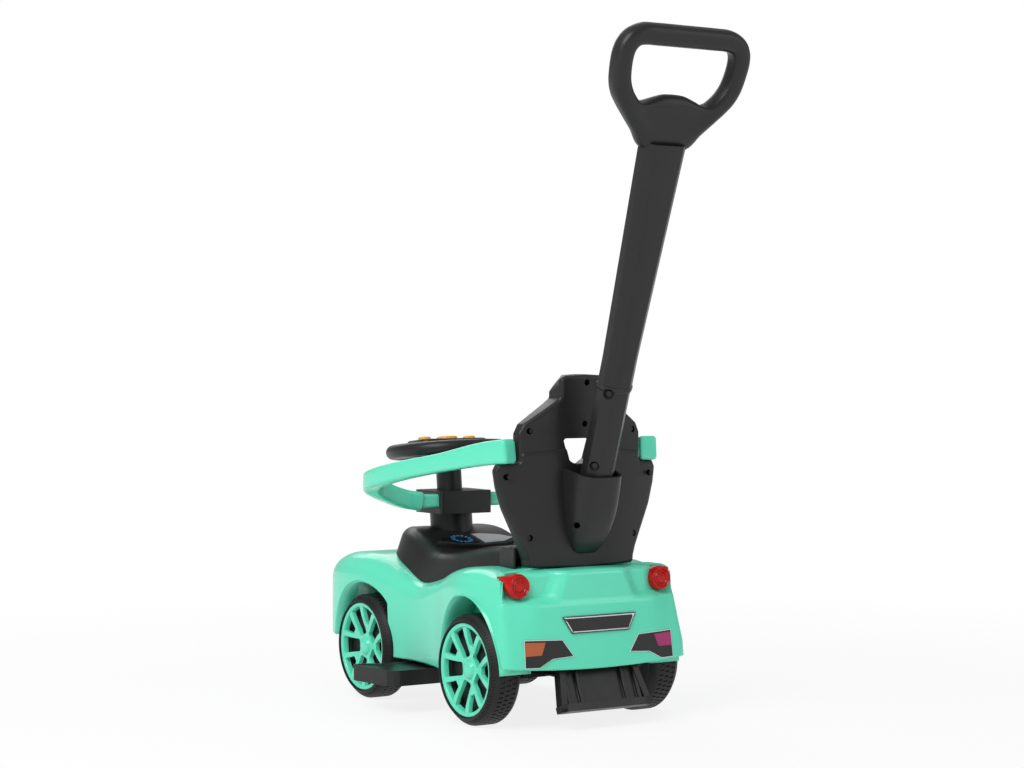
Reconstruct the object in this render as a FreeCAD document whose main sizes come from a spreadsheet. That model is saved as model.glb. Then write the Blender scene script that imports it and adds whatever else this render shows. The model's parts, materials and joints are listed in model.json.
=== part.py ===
import FreeCAD, Part
import math
import os
import re
import Sketcher
from FreeCAD import Placement, Rotation, Vector

# Push car with handle, in millimetres: +Y forward, +X to the car's right, +Z up,
# floor at z = 0, origin under the middle of the overall box.

SIZES = [
    # Shared clearances, walls and cuts
    ("overrun", 60.0), ("shell_wall", 3.0), ("rest_gap", 0.3), ("panel_gap", 0.6), ("running_gap", 0.05),
    # Lower body form
    ("nose_y", 361.0), ("tail_y", -173.0), ("body_half_width", 148.0), ("body_top", 204.0),
    ("shoulder_radius", 28.0), ("scoop_inner_x", 62.0), ("scoop_low", 162.0), ("scoop_taper", 17.0),
    ("bumper_slant", 12.0),
    # Wheels and axles
    ("tyre_radius", 72.5), ("tyre_width", 46.0), ("tyre_shoulder", 6.0), ("tread_groove", 2.0),
    ("tyre_bore_radius", 57.0), ("rim_radius", 61.4), ("rim_seat_depth", 9.0), ("wheel_web", 6.0),
    ("rim_plate", 4.0), ("rim_dish", 3.0), ("hub_radius", 11.0), ("hub_length", 19.0),
    ("dome_radius", 12.0), ("dome_height", 7.0), ("dome_shoulder", 4.2), ("window_outer_radius", 53.0),
    ("axle_radius", 5.0), ("rear_axle_y", -70.0), ("front_axle_y", 220.0), ("rear_outer_x", 149.0),
    ("front_outer_x", 140.0), ("rear_arch_half", 82.0), ("rear_arch_rise", 97.0),
    ("front_arch_half", 84.0), ("front_arch_rise", 92.0), ("rear_well_x", 96.0), ("front_well_x", 62.0),
    ("bush_radius", 10.0),
    # Floor pan, axle beam and steering linkage
    ("pan_low", 66.0), ("pan_thick", 4.0), ("pan_rear_y", -127.0), ("pan_front_y", 205.0),
    ("beam_depth", 28.0), ("beam_half", 112.0), ("beam_low", 47.0), ("beam_high", 98.0),
    ("beam_arm", 8.0), ("kingpin_x", 100.0), ("kingpin_radius", 4.0), ("knuckle_radius", 10.0),
    ("knuckle_arm", 36.0), ("link_width", 12.0), ("link_low", 50.0), ("link_thick", 5.0),
    ("link_pin_radius", 3.0), ("link_slack", 0.6), ("crank_swing", 3.0), ("crank_radius", 18.6),
    ("crank_low", 57.0), ("crank_thick", 5.0), ("beam_window_half", 46.0), ("beam_window_high", 106.0),
    # Steering column, collar and wheel
    ("column_lean", 6.0), ("column_y", 185.0), ("column_radius", 18.0), ("column_rod_radius", 8.0),
    ("column_rod_top", 150.0), ("column_top", 279.0), ("collar_radius", 30.0), ("collar_top", 206.0),
    ("column_bush_radius", 14.0), ("column_bush_height", 10.0), ("wheel_ring_radius", 78.0),
    ("wheel_tube_radius", 10.0), ("wheel_level", 289.0), ("wheel_hub_radius", 30.0),
    ("wheel_hub_depth", 12.0), ("wheel_spoke", 20.0), ("module_half_x", 56.0), ("module_half_y", 30.0),
    ("module_height", 13.0), ("horn_radius", 15.0), ("note_radius", 9.0), ("note_x", 37.0),
    ("button_rise", 4.0), ("button_travel", 3.0), ("column_screw_radius", 4.0),
    ("column_screw_level", 259.0), ("column_screw_turn", 225.0),
    # Seat, console, tub and instrument panel
    ("saddle_low", 150.0), ("saddle_gap", 2.0), ("saddle_nose", 85.0),
    ("saddle_half_width", 118.0), ("saddle_top", 238.0), ("saddle_edge", 16.0), ("seam_low_y", 80.0),
    ("seam_run", 66.0), ("hinge_radius", 9.0), ("hinge_pin_radius", 2.5), ("hinge_half", 78.0),
    ("hinge_lug", 8.0), ("hinge_z", 221.0), ("tub_half", 75.0), ("tub_rear_y", -49.0),
    ("tub_front_y", 76.0), ("tub_high", 166.0), ("tub_wall", 2.5), ("gauge_half", 64.0),
    ("gauge_rear_y", 120.0), ("gauge_depth", 44.0), ("gauge_thick", 13.0), ("gauge_level", 205.0),
    ("gauge_slope", 14.0), ("gauge_edge", 2.5),
    # Backrest shells
    ("back_split_y", -105.0), ("back_front_thick", 20.0), ("back_rear_thick", 20.0),
    ("back_foot_half", 82.0), ("back_waist_z", 236.0), ("back_waist_half", 90.0), ("back_side_z", 323.0),
    ("back_side_half", 120.0), ("back_step_half", 87.0), ("back_neck_z", 382.0), ("back_head_half", 32.0),
    ("back_head_low", 422.0), ("back_head_high", 431.0), ("back_crown_z", 454.0),
    ("back_crown_half", 20.0), ("back_edge", 5.0),
    ("window_half", 31.0), ("window_low", 340.0), ("window_high", 366.0), ("back_screw_radius", 3.0),
    ("back_screw_well", 5.0), ("socket_half", 35.0), ("socket_foot_half", 14.0), ("socket_low", 216.0),
    ("socket_high", 332.0),
    # Push handle
    ("handle_lean", 18.8), ("handle_y", -136.0), ("handle_z", 262.0), ("sleeve_width", 48.0),
    ("sleeve_depth", 40.0), ("sleeve_corner", 14.0), ("sleeve_length", 192.0), ("sleeve_wall", 3.0),
    ("tenon_length", 60.0), ("rod_top_width", 66.0), ("rod_top_depth", 44.0), ("rod_length", 316.0),
    ("grip_lap", 8.0), ("grip_height", 156.0), ("grip_half", 98.0), ("grip_thick", 27.0),
    ("grip_round", 8.0), ("sleeve_screw_radius", 3.0),
    # Guard rail and its clip
    ("rail_half", 167.0), ("rail_rear_y", -121.0), ("rail_reach", 299.0), ("rail_thick", 24.0),
    ("rail_tall", 34.0), ("rail_corner", 7.0), ("rail_rear_z", 358.0), ("rail_drop", 84.0),
    ("tongue_tall", 14.0), ("tongue_thick", 18.0), ("clip_half", 42.0), ("clip_low", 256.5),
    ("clip_tall", 32.0), ("clip_rear_y", 163.0), ("clip_depth", 72.0), ("clip_edge", 4.0),
    # Lamps, support and footrests
    ("tail_lamp_inset", 37.0), ("tail_lamp_z", 184.0), ("tail_lamp_radius", 14.5), ("tail_lamp_depth", 10.0),
    ("tail_lamp_y", -139.0), ("tail_lamp_tip", 28.0), ("head_lamp_inset", 70.0), ("head_lamp_z", 140.0),
    ("head_lamp_radius", 19.0), ("head_lamp_depth", 13.5), ("head_lamp_edge", 11.0),
    ("head_lamp_flat", 13.0), ("head_lamp_y", 344.0), ("support_top_half", 60.0),
    ("support_foot_half", 71.0), ("support_drop", 58.0), ("support_thick", 8.0), ("support_lean", 24.0),
    ("support_y", -147.0), ("support_z", 74.0), ("support_rib", 5.0), ("support_rib_step", 20.0),
    ("support_lip", 9.0), ("footrest_outer_x", 197.0), ("footrest_inner_x", 50.0),
    ("footrest_rear_y", 50.0), ("footrest_depth", 78.0), ("footrest_low", 39.0), ("footrest_thick", 21.0),
    ("footrest_corner", 10.0), ("footrest_border", 8.0), ("tread_length", 56.0), ("footrest_recess", 1.5), ("tray_wall", 3.0),
    ("tray_half", 100.0), ("screw_head_radius", 4.5), ("screw_head", 3.0), ("screw_shank_radius", 2.0),
    ("screw_bite", 5.5), ("screw_x", 50.0),
]

# Lower body stations, tail to nose: place along the body, half width, underside, top, shoulder rounding
BODY_STATION_SHARES = [
    (0.000, 0.940, 0.395, 0.990, 0.80), (0.067, 0.990, 0.385, 1.000, 1.00),
    (0.142, 1.000, 0.373, 1.000, 1.05), (0.236, 0.986, 0.345, 0.995, 1.05),
    (0.311, 0.935, 0.316, 0.961, 1.00), (0.404, 0.862, 0.314, 0.887, 0.90),
    (0.524, 0.826, 0.314, 0.834, 0.85), (0.629, 0.878, 0.316, 0.912, 0.95),
    (0.723, 0.936, 0.335, 0.980, 1.10), (0.788, 0.946, 0.363, 0.990, 1.15),
    (0.863, 0.926, 0.392, 0.972, 1.15), (0.933, 0.851, 0.415, 0.912, 1.10),
    (0.976, 0.716, 0.450, 0.828, 0.90), (1.000, 0.480, 0.515, 0.735, 0.60)]
# Saddle and console stations, rear to front: place, half width at the foot, half width at the top, top
SADDLE_STATION_SHARES = [
    (0.000, 0.880, 0.712, 0.945), (0.068, 0.897, 0.712, 0.957), (0.136, 0.915, 0.712, 0.955),
    (0.218, 0.940, 0.703, 0.941), (0.303, 0.966, 0.695, 0.920), (0.470, 1.000, 0.678, 0.886),
    (0.584, 1.000, 0.678, 0.890), (0.688, 0.985, 0.680, 0.945), (0.773, 0.965, 0.655, 0.985),
    (0.836, 0.900, 0.600, 0.995), (0.892, 0.780, 0.520, 0.990), (0.943, 0.600, 0.420, 0.965),
    (0.977, 0.440, 0.320, 0.920), (1.000, 0.280, 0.220, 0.850)]
# Guard rail centre line from rear end to middle: half width, reach, drop, height, thickness
RAIL_STATION_SHARES = [
    (0.655, 0.000, 0.000, 1.00, 1.00), (0.740, 0.150, 0.000, 1.00, 1.00), (0.868, 0.370, 0.095, 1.03, 1.00),
    (0.964, 0.600, 0.225, 1.03, 1.00), (1.000, 0.775, 0.370, 1.00, 1.00), (0.962, 0.905, 0.535, 0.97, 1.00),
    (0.830, 0.975, 0.725, 0.92, 0.97), (0.600, 0.998, 0.915, 0.85, 0.92), (0.420, 1.000, 0.985, 0.80, 0.90)]
RAIL_ROUND_SHARE = 0.35
RAIL_SECTIONS = 36
SUPPORT_RIBS = 2
EVEN_STEP = 1e-9
TAIL_TIP_SHARE = 0.75
TAIL_PLATE_SHARE = 0.7
# Grip outlines, right half from bottom to top: half width, height
GRIP_OUTER_SHARES = [(0.00, -0.060), (0.22, -0.035), (0.37, 0.045), (0.50, 0.145), (0.65, 0.237), (0.785, 0.320),
                     (0.89, 0.403), (0.95, 0.483), (0.98, 0.565), (1.00, 0.680), (1.00, 0.760), (0.97, 0.850),
                     (0.87, 0.930), (0.68, 0.985), (0.45, 1.000), (0.00, 1.000)]
GRIP_INNER_SHARES = [(0.00, 0.445), (0.16, 0.438), (0.32, 0.405), (0.42, 0.376), (0.50, 0.372), (0.60, 0.410),
                     (0.69, 0.474), (0.755, 0.550), (0.785, 0.640), (0.79, 0.730), (0.775, 0.790), (0.71, 0.840),
                     (0.60, 0.854), (0.45, 0.854), (0.00, 0.854)]
ROD_STATION_SHARES = [(0.00, 0.00), (0.12, 0.00), (1.00, 1.00)]
SPOKE_COUNT = 5
# Windows of the wheel cover, as shares of their outer radius: across, up
FORK_WINDOW_SHARES = [(-0.09, 0.62), (0.09, 0.62), (0.22, 0.95), (0.00, 1.00), (-0.22, 0.95)]
DEEP_WINDOW_SHARES = [(-0.125, -0.415), (0.125, -0.415), (0.30, -0.87), (0.00, -1.00), (-0.30, -0.87)]
# Right halves of the instrument panel and of the backrest's window, low to high: across, up
GAUGE_SHARES = [(0.00, 0.00), (0.55, 0.06), (1.00, 0.45), (0.72, 0.82), (0.30, 1.00)]
BACK_WINDOW_SHARES = [(0.40, 0.00), (0.80, 0.25), (1.00, 1.00), (0.90, 1.16)]
MODULE_CORNER_SHARE = 0.7
BUTTON_ROUND_SHARE = 0.7
SOCKET_MIDDLE_SHARE = 0.9
SOCKET_ROUND_SHARE = 0.6
WHEEL_SPOKE_TURNS = (0, 180, 270)


doc = FreeCAD.newDocument("push_car")
sheet = doc.addObject("Spreadsheet::Sheet", "sizes")
for row, (alias, value) in enumerate(SIZES, start=1):
    sheet.set("A%d" % row, alias)
    sheet.set("B%d" % row, str(value))
    sheet.setAlias("B%d" % row, alias)
doc.recompute()


class Sizes:
    """The sheet's values by name."""

    def __getattr__(self, name):
        return float(sheet.get(name))


d = Sizes()
pieces = []
X_AXIS = Vector(1, 0, 0)
Y_AXIS = Vector(0, 1, 0)
Z_AXIS = Vector(0, 0, 1)
SIDES = (("left", -1), ("right", 1))


def bound(expression):
    """Turns sheet names in an expression into references to the sheet."""
    return re.sub(r"[a-z][a-z_]{2,}", lambda word: "sizes." + word.group(0), expression)


def keep(piece, name):
    """Labels a finished sub-part and lists it for writing."""
    piece.Label = name
    pieces.append(piece)
    return piece


def feature(name, shape, placement=None):
    """A sub-part or tool whose shape is set from code."""
    made = doc.addObject("Part::Feature", name)
    made.Shape = shape
    if placement:
        made.Placement = placement
    return made


def box(name, x, y, z, dx, dy, dz):
    """A box from its low corner, given as values, and its edges, given as sheet expressions."""
    made = doc.addObject("Part::Box", name)
    for side, expression in (("Length", dx), ("Width", dy), ("Height", dz)):
        made.setExpression(side, bound(expression))
    made.Placement = Placement(Vector(x, y, z), Rotation())
    return made


def cylinder(name, radius, height, base, axis=Z_AXIS):
    """A cylinder from its base point along an axis."""
    made = doc.addObject("Part::Cylinder", name)
    made.setExpression("Radius", bound(radius))
    made.setExpression("Height", bound(height))
    made.Placement = Placement(base, Rotation(Z_AXIS, axis))
    return made


def fuse(name, *parts):
    made = doc.addObject("Part::MultiFuse", name)
    made.Shapes = list(parts)
    made.Refine = True
    return made


def cut(name, base, *tools):
    """Base less its tools, the tools joined first where there are several."""
    made = doc.addObject("Part::Cut", name)
    made.Base = base
    made.Tool = tools[0] if len(tools) == 1 else fuse(name + "_tools", *tools)
    return made


def plane_of(body, role):
    return next(item for item in body.Origin.OriginFeatures if item.Role == role)


def outline(body, role, points):
    """A closed sketch of straight lines whose corners are bound to the sheet."""
    sketch = body.newObject("Sketcher::SketchObject", body.Name + "_outline")
    sketch.AttachmentSupport = [(plane_of(body, role), "")]
    sketch.MapMode = "FlatFace"
    count = len(points)
    start = [Vector(math.cos(math.tau * i / count), math.sin(math.tau * i / count), 0) * d.tyre_radius
             for i in range(count)]
    for i in range(count):
        sketch.addGeometry(Part.LineSegment(start[i], start[(i + 1) % count]))
    for i in range(count):
        sketch.addConstraint(Sketcher.Constraint("Coincident", i, 2, (i + 1) % count, 1))
    for i, (across, up) in enumerate(points):
        for kind, value, expression in (("DistanceX", start[i].x, across), ("DistanceY", start[i].y, up)):
            place = sketch.addConstraint(Sketcher.Constraint(kind, -1, 1, i, 1, value))
            sketch.setExpression("Constraints[%d]" % place, bound(expression))
    return sketch


def new_body(name):
    return doc.addObject("PartDesign::Body", name)


def pad(body, sketch, length, symmetric=False):
    made = body.newObject("PartDesign::Pad", body.Name + "_pad")
    made.Profile = sketch
    made.setExpression("Length", bound(length))
    if symmetric:
        made.SideType = "Symmetric"
    doc.recompute()
    return made


def pocket(body, sketch, length, reverse=False):
    """A pocket that has to take material away."""
    before = body.Shape.Volume
    made = body.newObject("PartDesign::Pocket", body.Name + "_pocket")
    made.Profile = sketch
    made.setExpression("Length", bound(length))
    made.Reversed = reverse
    doc.recompute()
    if body.Shape.Volume >= before:
        raise RuntimeError("pocket cuts nothing in " + body.Name)
    return made


def revolved(name, points, role="XZ_Plane", axis="H_Axis"):
    """A body turned about a sketch axis."""
    body = new_body(name)
    sketch = outline(body, role, points)
    turn = body.newObject("PartDesign::Revolution", name + "_turn")
    turn.Profile = sketch
    turn.ReferenceAxis = (sketch, [axis])
    doc.recompute()
    return body


def shared(shares, across, up):
    """Outline points as shares of two sizes."""
    return [("%s * %g" % (across, x) if x else "0", "%s * %g" % (up, y)) for x, y in shares]


def mirrored(points):
    """Right-half outline points, low to high, closed with their left-hand copies."""
    left = [("-(%s)" % across, up) for across, up in reversed(points) if across != "0"]
    return points + left


def edges_where(shape, test):
    """Names of a shape's edges that pass a test."""
    return ["Edge%d" % (i + 1) for i, edge in enumerate(shape.Edges) if test(edge)]


def soften(body, base, edges, radius, kind="PartDesign::Fillet"):
    made = body.newObject(kind, body.Name + "_soft")
    made.Base = (base, edges)
    made.setExpression("Radius" if kind.endswith("Fillet") else "Size", bound(radius))
    doc.recompute()
    return made


def corner_arc(corner, before, after, radius):
    """Rounds a corner: the points where the round starts, passes and ends."""
    start = corner + (before - corner).normalize() * radius
    end = corner + (after - corner).normalize() * radius
    return start, (start + end + corner * 2) / 4, end


def rounded_wire(corners, radii):
    """A closed wire through corners, each rounded by its radius or sharp at zero."""
    runs = []
    count = len(corners)
    for i, corner in enumerate(corners):
        if radii[i] == 0:
            runs.append((corner, None, corner))
        else:
            runs.append(corner_arc(corner, corners[i - 1], corners[(i + 1) % count], radii[i]))
    edges = []
    for i, (start, middle, end) in enumerate(runs):
        if middle:
            edges.append(Part.Arc(start, middle, end).toShape())
        edges.append(Part.LineSegment(end, runs[(i + 1) % count][0]).toShape())
    return Part.Wire(edges)


def rounded_slab(width, depth, corner, at):
    """A level rounded rectangle about a centre point."""
    half_x = width / 2
    half_y = depth / 2
    corners = [at + Vector(sx * half_x, sy * half_y, 0) for sx, sy in ((-1, -1), (1, -1), (1, 1), (-1, 1))]
    return rounded_wire(corners, [corner] * len(corners))


# Lower body form and the shell made from it

def body_form(inset, drop):
    """The lower body as a solid, drawn in by an inset and let down below by a drop."""
    length = d.nose_y - d.tail_y
    wires = []
    last = len(BODY_STATION_SHARES) - 1
    for i, (along, half, low, high, rounding) in enumerate(BODY_STATION_SHARES):
        y = d.tail_y + along * length
        if i == 0:
            y += inset
        if i == last:
            y -= inset
        x = half * d.body_half_width - inset
        z_low = low * d.body_top - drop
        z_high = high * d.body_top - inset
        corners = [Vector(-x, y, z_low), Vector(x, y, z_low), Vector(x, y, z_high), Vector(-x, y, z_high)]
        radius = rounding * d.shoulder_radius
        wires.append(rounded_wire(corners, [0, 0, radius, radius]))
    return Part.makeLoft(wires, True, False)


def arch(y, half, rise, inner_x, grow):
    """Both wheel wells of an axle, grown by a wall."""
    outer_x = d.body_half_width + d.overrun
    wells = []
    for _, side in SIDES:
        start = Vector(side * (inner_x - grow), y, d.tyre_radius)
        tall = Vector(start.x, y, d.tyre_radius + rise + grow)
        wide = Vector(start.x, y + half + grow, d.tyre_radius)
        rim = Part.Ellipse(tall, wide, start)
        face = Part.Face(Part.Wire(rim.toShape()))
        wells.append(face.extrude(Vector(side * (outer_x - inner_x + grow), 0, 0)))
    return wells


def wells(grow):
    return (arch(d.rear_axle_y, d.rear_arch_half, d.rear_arch_rise, d.rear_well_x, grow)
            + arch(d.front_axle_y, d.front_arch_half, d.front_arch_rise, d.front_well_x, grow))


def side_prism(points, half_from, half_to):
    """A side-view polygon of (y, z) points drawn across from one x to another."""
    wire = Part.makePolygon([Vector(half_from, y, z) for y, z in points + points[:1]])
    return Part.Face(wire).extrude(Vector(half_to - half_from, 0, 0))


def x_rod(y, z, radius, reach):
    return Part.makeCylinder(radius, 2 * reach, Vector(-reach, y, z), X_AXIS)


def column_place(level=0.0):
    """Where a piece on the steering column's axis sits, at a level above the crank."""
    turn = Rotation(X_AXIS, -d.column_lean)
    return Placement(Vector(0, d.column_y, d.crank_low) + turn.multVec(Z_AXIS) * level, turn)


def column_rod(radius):
    """A rod along the whole steering axis, as a cutting tool."""
    rod = Part.makeCylinder(radius, d.column_top + d.overrun)
    rod.Placement = column_place()
    return rod


def scoop(side):
    """The hollow beside the rear centre panel where a tail lamp sits."""
    far = d.body_half_width + d.overrun
    top = d.body_top + d.overrun
    rear = d.tail_y - d.overrun
    edge = [(d.scoop_inner_x, d.scoop_low), (far, d.scoop_low), (far, top),
            (d.scoop_inner_x - d.scoop_taper * (top - d.scoop_low) / (d.body_top - d.scoop_low), top)]
    wire = Part.makePolygon([Vector(side * x, rear, z) for x, z in edge + edge[:1]])
    return Part.Face(wire).extrude(Y_AXIS * (d.tail_lamp_y - rear))


head_lamp_x = d.body_half_width - d.head_lamp_inset


def body_shell():
    outer = body_form(0, 0)
    inner = body_form(d.shell_wall, d.overrun).cut(wells(d.shell_wall))
    shell = outer.cut(wells(0))
    far = d.body_half_width + d.overrun
    top = d.body_top + d.overrun
    rear = d.tail_y - d.overrun
    bumper_y = d.tail_y + d.bumper_slant
    edge = [(rear, 0), (d.tail_y, 0), (bumper_y, d.scoop_low), (bumper_y, top), (rear, top)]
    bumper = side_prism(edge, -far, far)
    scoops = [scoop(side) for _, side in SIDES]
    room = inner
    for keep_clear in [bumper] + scoops:
        moved = keep_clear.copy()
        moved.translate(Vector(0, d.shell_wall, 0))
        room = room.cut(moved)
    shell = shell.cut([bumper] + scoops).cut(room)
    tub_x = d.tub_half - d.tub_wall
    hatch = Part.makeBox(2 * tub_x, d.tub_front_y - d.tub_rear_y - 2 * d.tub_wall, d.overrun,
                         Vector(-tub_x, d.tub_rear_y + d.tub_wall, d.tub_high))
    beam_gap = [Part.makeBox(d.overrun, 2 * d.beam_window_half, d.beam_window_high,
                             Vector(side * d.front_well_x - d.overrun / 2,
                                    d.front_axle_y - d.beam_window_half, 0))
                for _, side in SIDES]
    lamps = [Part.makeCylinder(d.head_lamp_radius + d.rest_gap, d.overrun,
                               Vector(side * head_lamp_x, d.head_lamp_y, d.head_lamp_z), Y_AXIS)
             for _, side in SIDES]
    axle_hole = x_rod(d.rear_axle_y, d.tyre_radius, d.axle_radius + d.running_gap, far)
    return shell.cut([hatch, axle_hole, column_rod(d.column_rod_radius + d.link_slack)] + beam_gap + lamps)


keep(feature("body", body_shell()), "body_shell")


# Saddle form, split by the seam into the seat and the console

saddle_rear_y = d.back_split_y + d.back_front_thick + d.saddle_gap
saddle_length = d.column_y + d.saddle_nose - saddle_rear_y


def saddle_form(inset):
    wires = []
    last = len(SADDLE_STATION_SHARES) - 1
    for i, (along, foot, head, high) in enumerate(SADDLE_STATION_SHARES):
        y = saddle_rear_y + along * saddle_length
        if i == 0:
            y += inset
        if i == last:
            y -= inset
        low = d.saddle_low - (d.overrun if inset else 0)
        foot_x = foot * d.saddle_half_width - inset
        head_x = head * d.saddle_half_width - inset
        top = high * d.saddle_top - inset
        corners = [Vector(-foot_x, y, low), Vector(foot_x, y, low), Vector(head_x, y, top),
                   Vector(-head_x, y, top)]
        wires.append(rounded_wire(corners, [0, 0, d.saddle_edge, d.saddle_edge]))
    return Part.makeLoft(wires, True, False)


def behind_seam(shift):
    """Everything behind the seam between seat and console."""
    far = d.saddle_half_width + d.overrun
    rear = saddle_rear_y - d.overrun
    top = d.saddle_low + 2 * d.seam_run
    low = d.saddle_low - d.overrun
    edge = [(rear, low), (d.seam_low_y + shift - d.overrun, low), (d.seam_low_y + shift, d.saddle_low),
            (d.seam_low_y + d.seam_run + shift, top), (rear, top)]
    return side_prism(edge, -far, far)


saddle_skin = saddle_form(0).cut(saddle_form(d.shell_wall)).cut(body_form(-d.rest_gap, 0))
hinge_y = saddle_rear_y + d.hinge_radius


def seat_lid():
    seat = saddle_skin.common(behind_seam(0))
    far = d.saddle_half_width + d.overrun
    rear = Part.makeBox(2 * far, d.overrun, d.saddle_top, Vector(-far, hinge_y - d.overrun, d.saddle_low))
    notches = [Part.makeBox(d.overrun, d.overrun, d.saddle_top,
                            Vector(side * (d.hinge_half + d.overrun / 2) - d.overrun / 2,
                                   hinge_y + d.hinge_radius + d.panel_gap - d.overrun, d.saddle_low))
               for _, side in SIDES]
    seat = seat.cut([rear] + notches)
    barrel = x_rod(hinge_y, d.hinge_z, d.hinge_radius - d.rest_gap, d.hinge_half)
    web = Part.makeBox(2 * d.hinge_half, d.hinge_radius + d.saddle_edge, d.shell_wall,
                       Vector(-d.hinge_half, hinge_y, d.hinge_z + d.hinge_radius - 2 * d.shell_wall))
    pin_hole = x_rod(hinge_y, d.hinge_z, d.hinge_pin_radius + d.running_gap, far)
    return seat.fuse([barrel, web]).cut(pin_hole)


keep(feature("seat", seat_lid()), "seat_lid")


def dash_console():
    console = saddle_skin.cut(behind_seam(d.panel_gap))
    return console.cut(column_rod(d.collar_radius + d.rest_gap))


keep(feature("console", dash_console()), "dash_console")
hinge_reach = d.hinge_half + d.hinge_lug
keep(cylinder("hinge_pin", "hinge_pin_radius", "2 * (hinge_half + hinge_lug)",
              Vector(-hinge_reach, hinge_y, d.hinge_z), X_AXIS), "seat_hinge_pin")


def storage_tub():
    outer = box("tub_outer", -d.tub_half, d.tub_rear_y, d.pan_low + d.pan_thick, "2 * tub_half",
                "tub_front_y - tub_rear_y", "tub_high - pan_low - pan_thick")
    inner = box("tub_room", -d.tub_half + d.tub_wall, d.tub_rear_y + d.tub_wall,
                d.pan_low + d.pan_thick + d.tub_wall, "2 * (tub_half - tub_wall)",
                "tub_front_y - tub_rear_y - 2 * tub_wall", "overrun + tub_high")
    return cut("tub", outer, inner)


keep(storage_tub(), "storage_tub")


def instrument_panel():
    """A lens-shaped raised panel on the console's rear slope."""
    body = new_body("gauge")
    points = mirrored(shared(GAUGE_SHARES, "gauge_half", "gauge_depth"))
    base = pad(body, outline(body, "XY_Plane", points), "gauge_thick")
    top = edges_where(base.Shape, lambda edge: edge.BoundBox.ZMin > d.gauge_thick - d.rest_gap)
    soften(body, base, top, "gauge_edge")
    body.Placement = Placement(Vector(0, d.gauge_rear_y, d.gauge_level), Rotation(X_AXIS, d.gauge_slope))
    return body


gauge_blank = instrument_panel()
doc.recompute()
gauge_seat = gauge_blank.Shape.cut(saddle_form(0))
keep(feature("gauge_panel", gauge_seat), "instrument_panel")


# Floor pan, rear axle and front beam

def chassis_pan():
    half = d.rear_well_x - d.shell_wall
    narrow = d.front_well_x - d.shell_wall
    plate = Part.makeBox(2 * half, d.pan_front_y - d.pan_rear_y, d.pan_thick,
                         Vector(-half, d.pan_rear_y, d.pan_low))
    step_y = d.front_axle_y - d.front_arch_half - d.shell_wall
    sides = [Part.makeBox(d.overrun, d.overrun + d.front_arch_half, d.overrun,
                          Vector(side * (narrow + d.overrun / 2) - d.overrun / 2, step_y,
                                 d.pan_low - d.overrun / 2))
             for _, side in SIDES]
    return plate.cut(sides + [x_rod(d.rear_axle_y, d.tyre_radius, d.axle_radius + d.running_gap, half),
                              column_rod(d.column_bush_radius + d.running_gap)])


keep(feature("pan", chassis_pan()), "chassis_pan")
rear_axle_half = d.rear_outer_x - d.rim_seat_depth - d.running_gap
keep(cylinder("axle", "axle_radius", "2 * (rear_outer_x - rim_seat_depth - running_gap)",
              Vector(-rear_axle_half, d.rear_axle_y, d.tyre_radius), X_AXIS), "rear_axle")


def axle_bushes():
    """Flanged bushes between the rear wheel wells and the wheel hubs."""
    bushes = []
    hub_face = d.rear_outer_x - d.rim_seat_depth - d.hub_length - d.rest_gap
    for _, side in SIDES:
        outer = Part.makeCylinder(d.bush_radius, hub_face - d.rear_well_x,
                                  Vector(side * d.rear_well_x, d.rear_axle_y, d.tyre_radius), X_AXIS * side)
        bore = x_rod(d.rear_axle_y, d.tyre_radius, d.axle_radius + d.running_gap, d.rear_outer_x)
        bushes.append(outer.cut(bore))
    return Part.Compound(bushes)


keep(feature("bushes", axle_bushes()), "rear_axle_bushes")


def front_beam():
    blank = box("beam_blank", -d.beam_half, d.pan_front_y, d.beam_low, "2 * beam_half", "beam_depth",
                "beam_high - beam_low")
    tools = []
    for name, side in SIDES:
        room_x = side * d.kingpin_x - (d.knuckle_radius + d.beam_arm)
        tools.append(box("beam_room_" + name, room_x, d.pan_front_y - d.overrun,
                         d.beam_low + d.beam_arm, "2 * (knuckle_radius + beam_arm)",
                         "beam_depth + 2 * overrun", "beam_high - beam_low - 2 * beam_arm"))
        tools.append(cylinder("beam_hole_" + name, "kingpin_radius + running_gap", "beam_high + overrun",
                              Vector(side * d.kingpin_x, d.front_axle_y, 0)))
    return cut("beam", blank, *tools)


keep(front_beam(), "front_axle_beam")


def kingpins():
    pins = [cylinder("kingpin_" + name, "kingpin_radius", "beam_high - beam_low",
                     Vector(side * d.kingpin_x, d.front_axle_y, d.beam_low)) for name, side in SIDES]
    return fuse("pins", *pins)


keep(kingpins(), "kingpins")


def knuckle(name, side):
    """Barrel on the kingpin, stub axle outwards and steering arm rearwards."""
    low = d.beam_low + d.beam_arm + d.rest_gap
    barrel = cylinder("barrel_" + name, "knuckle_radius", "beam_high - beam_low - 2 * (beam_arm + rest_gap)",
                      Vector(side * d.kingpin_x, d.front_axle_y, low))
    stub = cylinder("stub_" + name, "axle_radius", "front_outer_x - rim_seat_depth - rest_gap - kingpin_x",
                    Vector(side * d.kingpin_x, d.front_axle_y, d.tyre_radius), X_AXIS * side)
    arm_y = d.front_axle_y - d.knuckle_arm
    arm = box("arm_" + name, side * d.kingpin_x - d.link_width / 2, arm_y - d.link_width / 2, d.crank_low,
              "link_width", "knuckle_arm + link_width / 2", "crank_thick")
    pin = cylinder("arm_pin_" + name, "link_pin_radius", "crank_low - link_low + link_thick / 2",
                   Vector(side * d.kingpin_x, arm_y, d.link_low - d.link_thick / 2))
    bore = cylinder("barrel_bore_" + name, "kingpin_radius + running_gap", "beam_high + overrun",
                    Vector(side * d.kingpin_x, d.front_axle_y, 0))
    return cut("knuckle_" + name, fuse("knuckle_blank_" + name, barrel, stub, arm, pin), bore)


for side_name, side_sign in SIDES:
    keep(knuckle(side_name, side_sign), "steering_knuckle_" + side_name)


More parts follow.
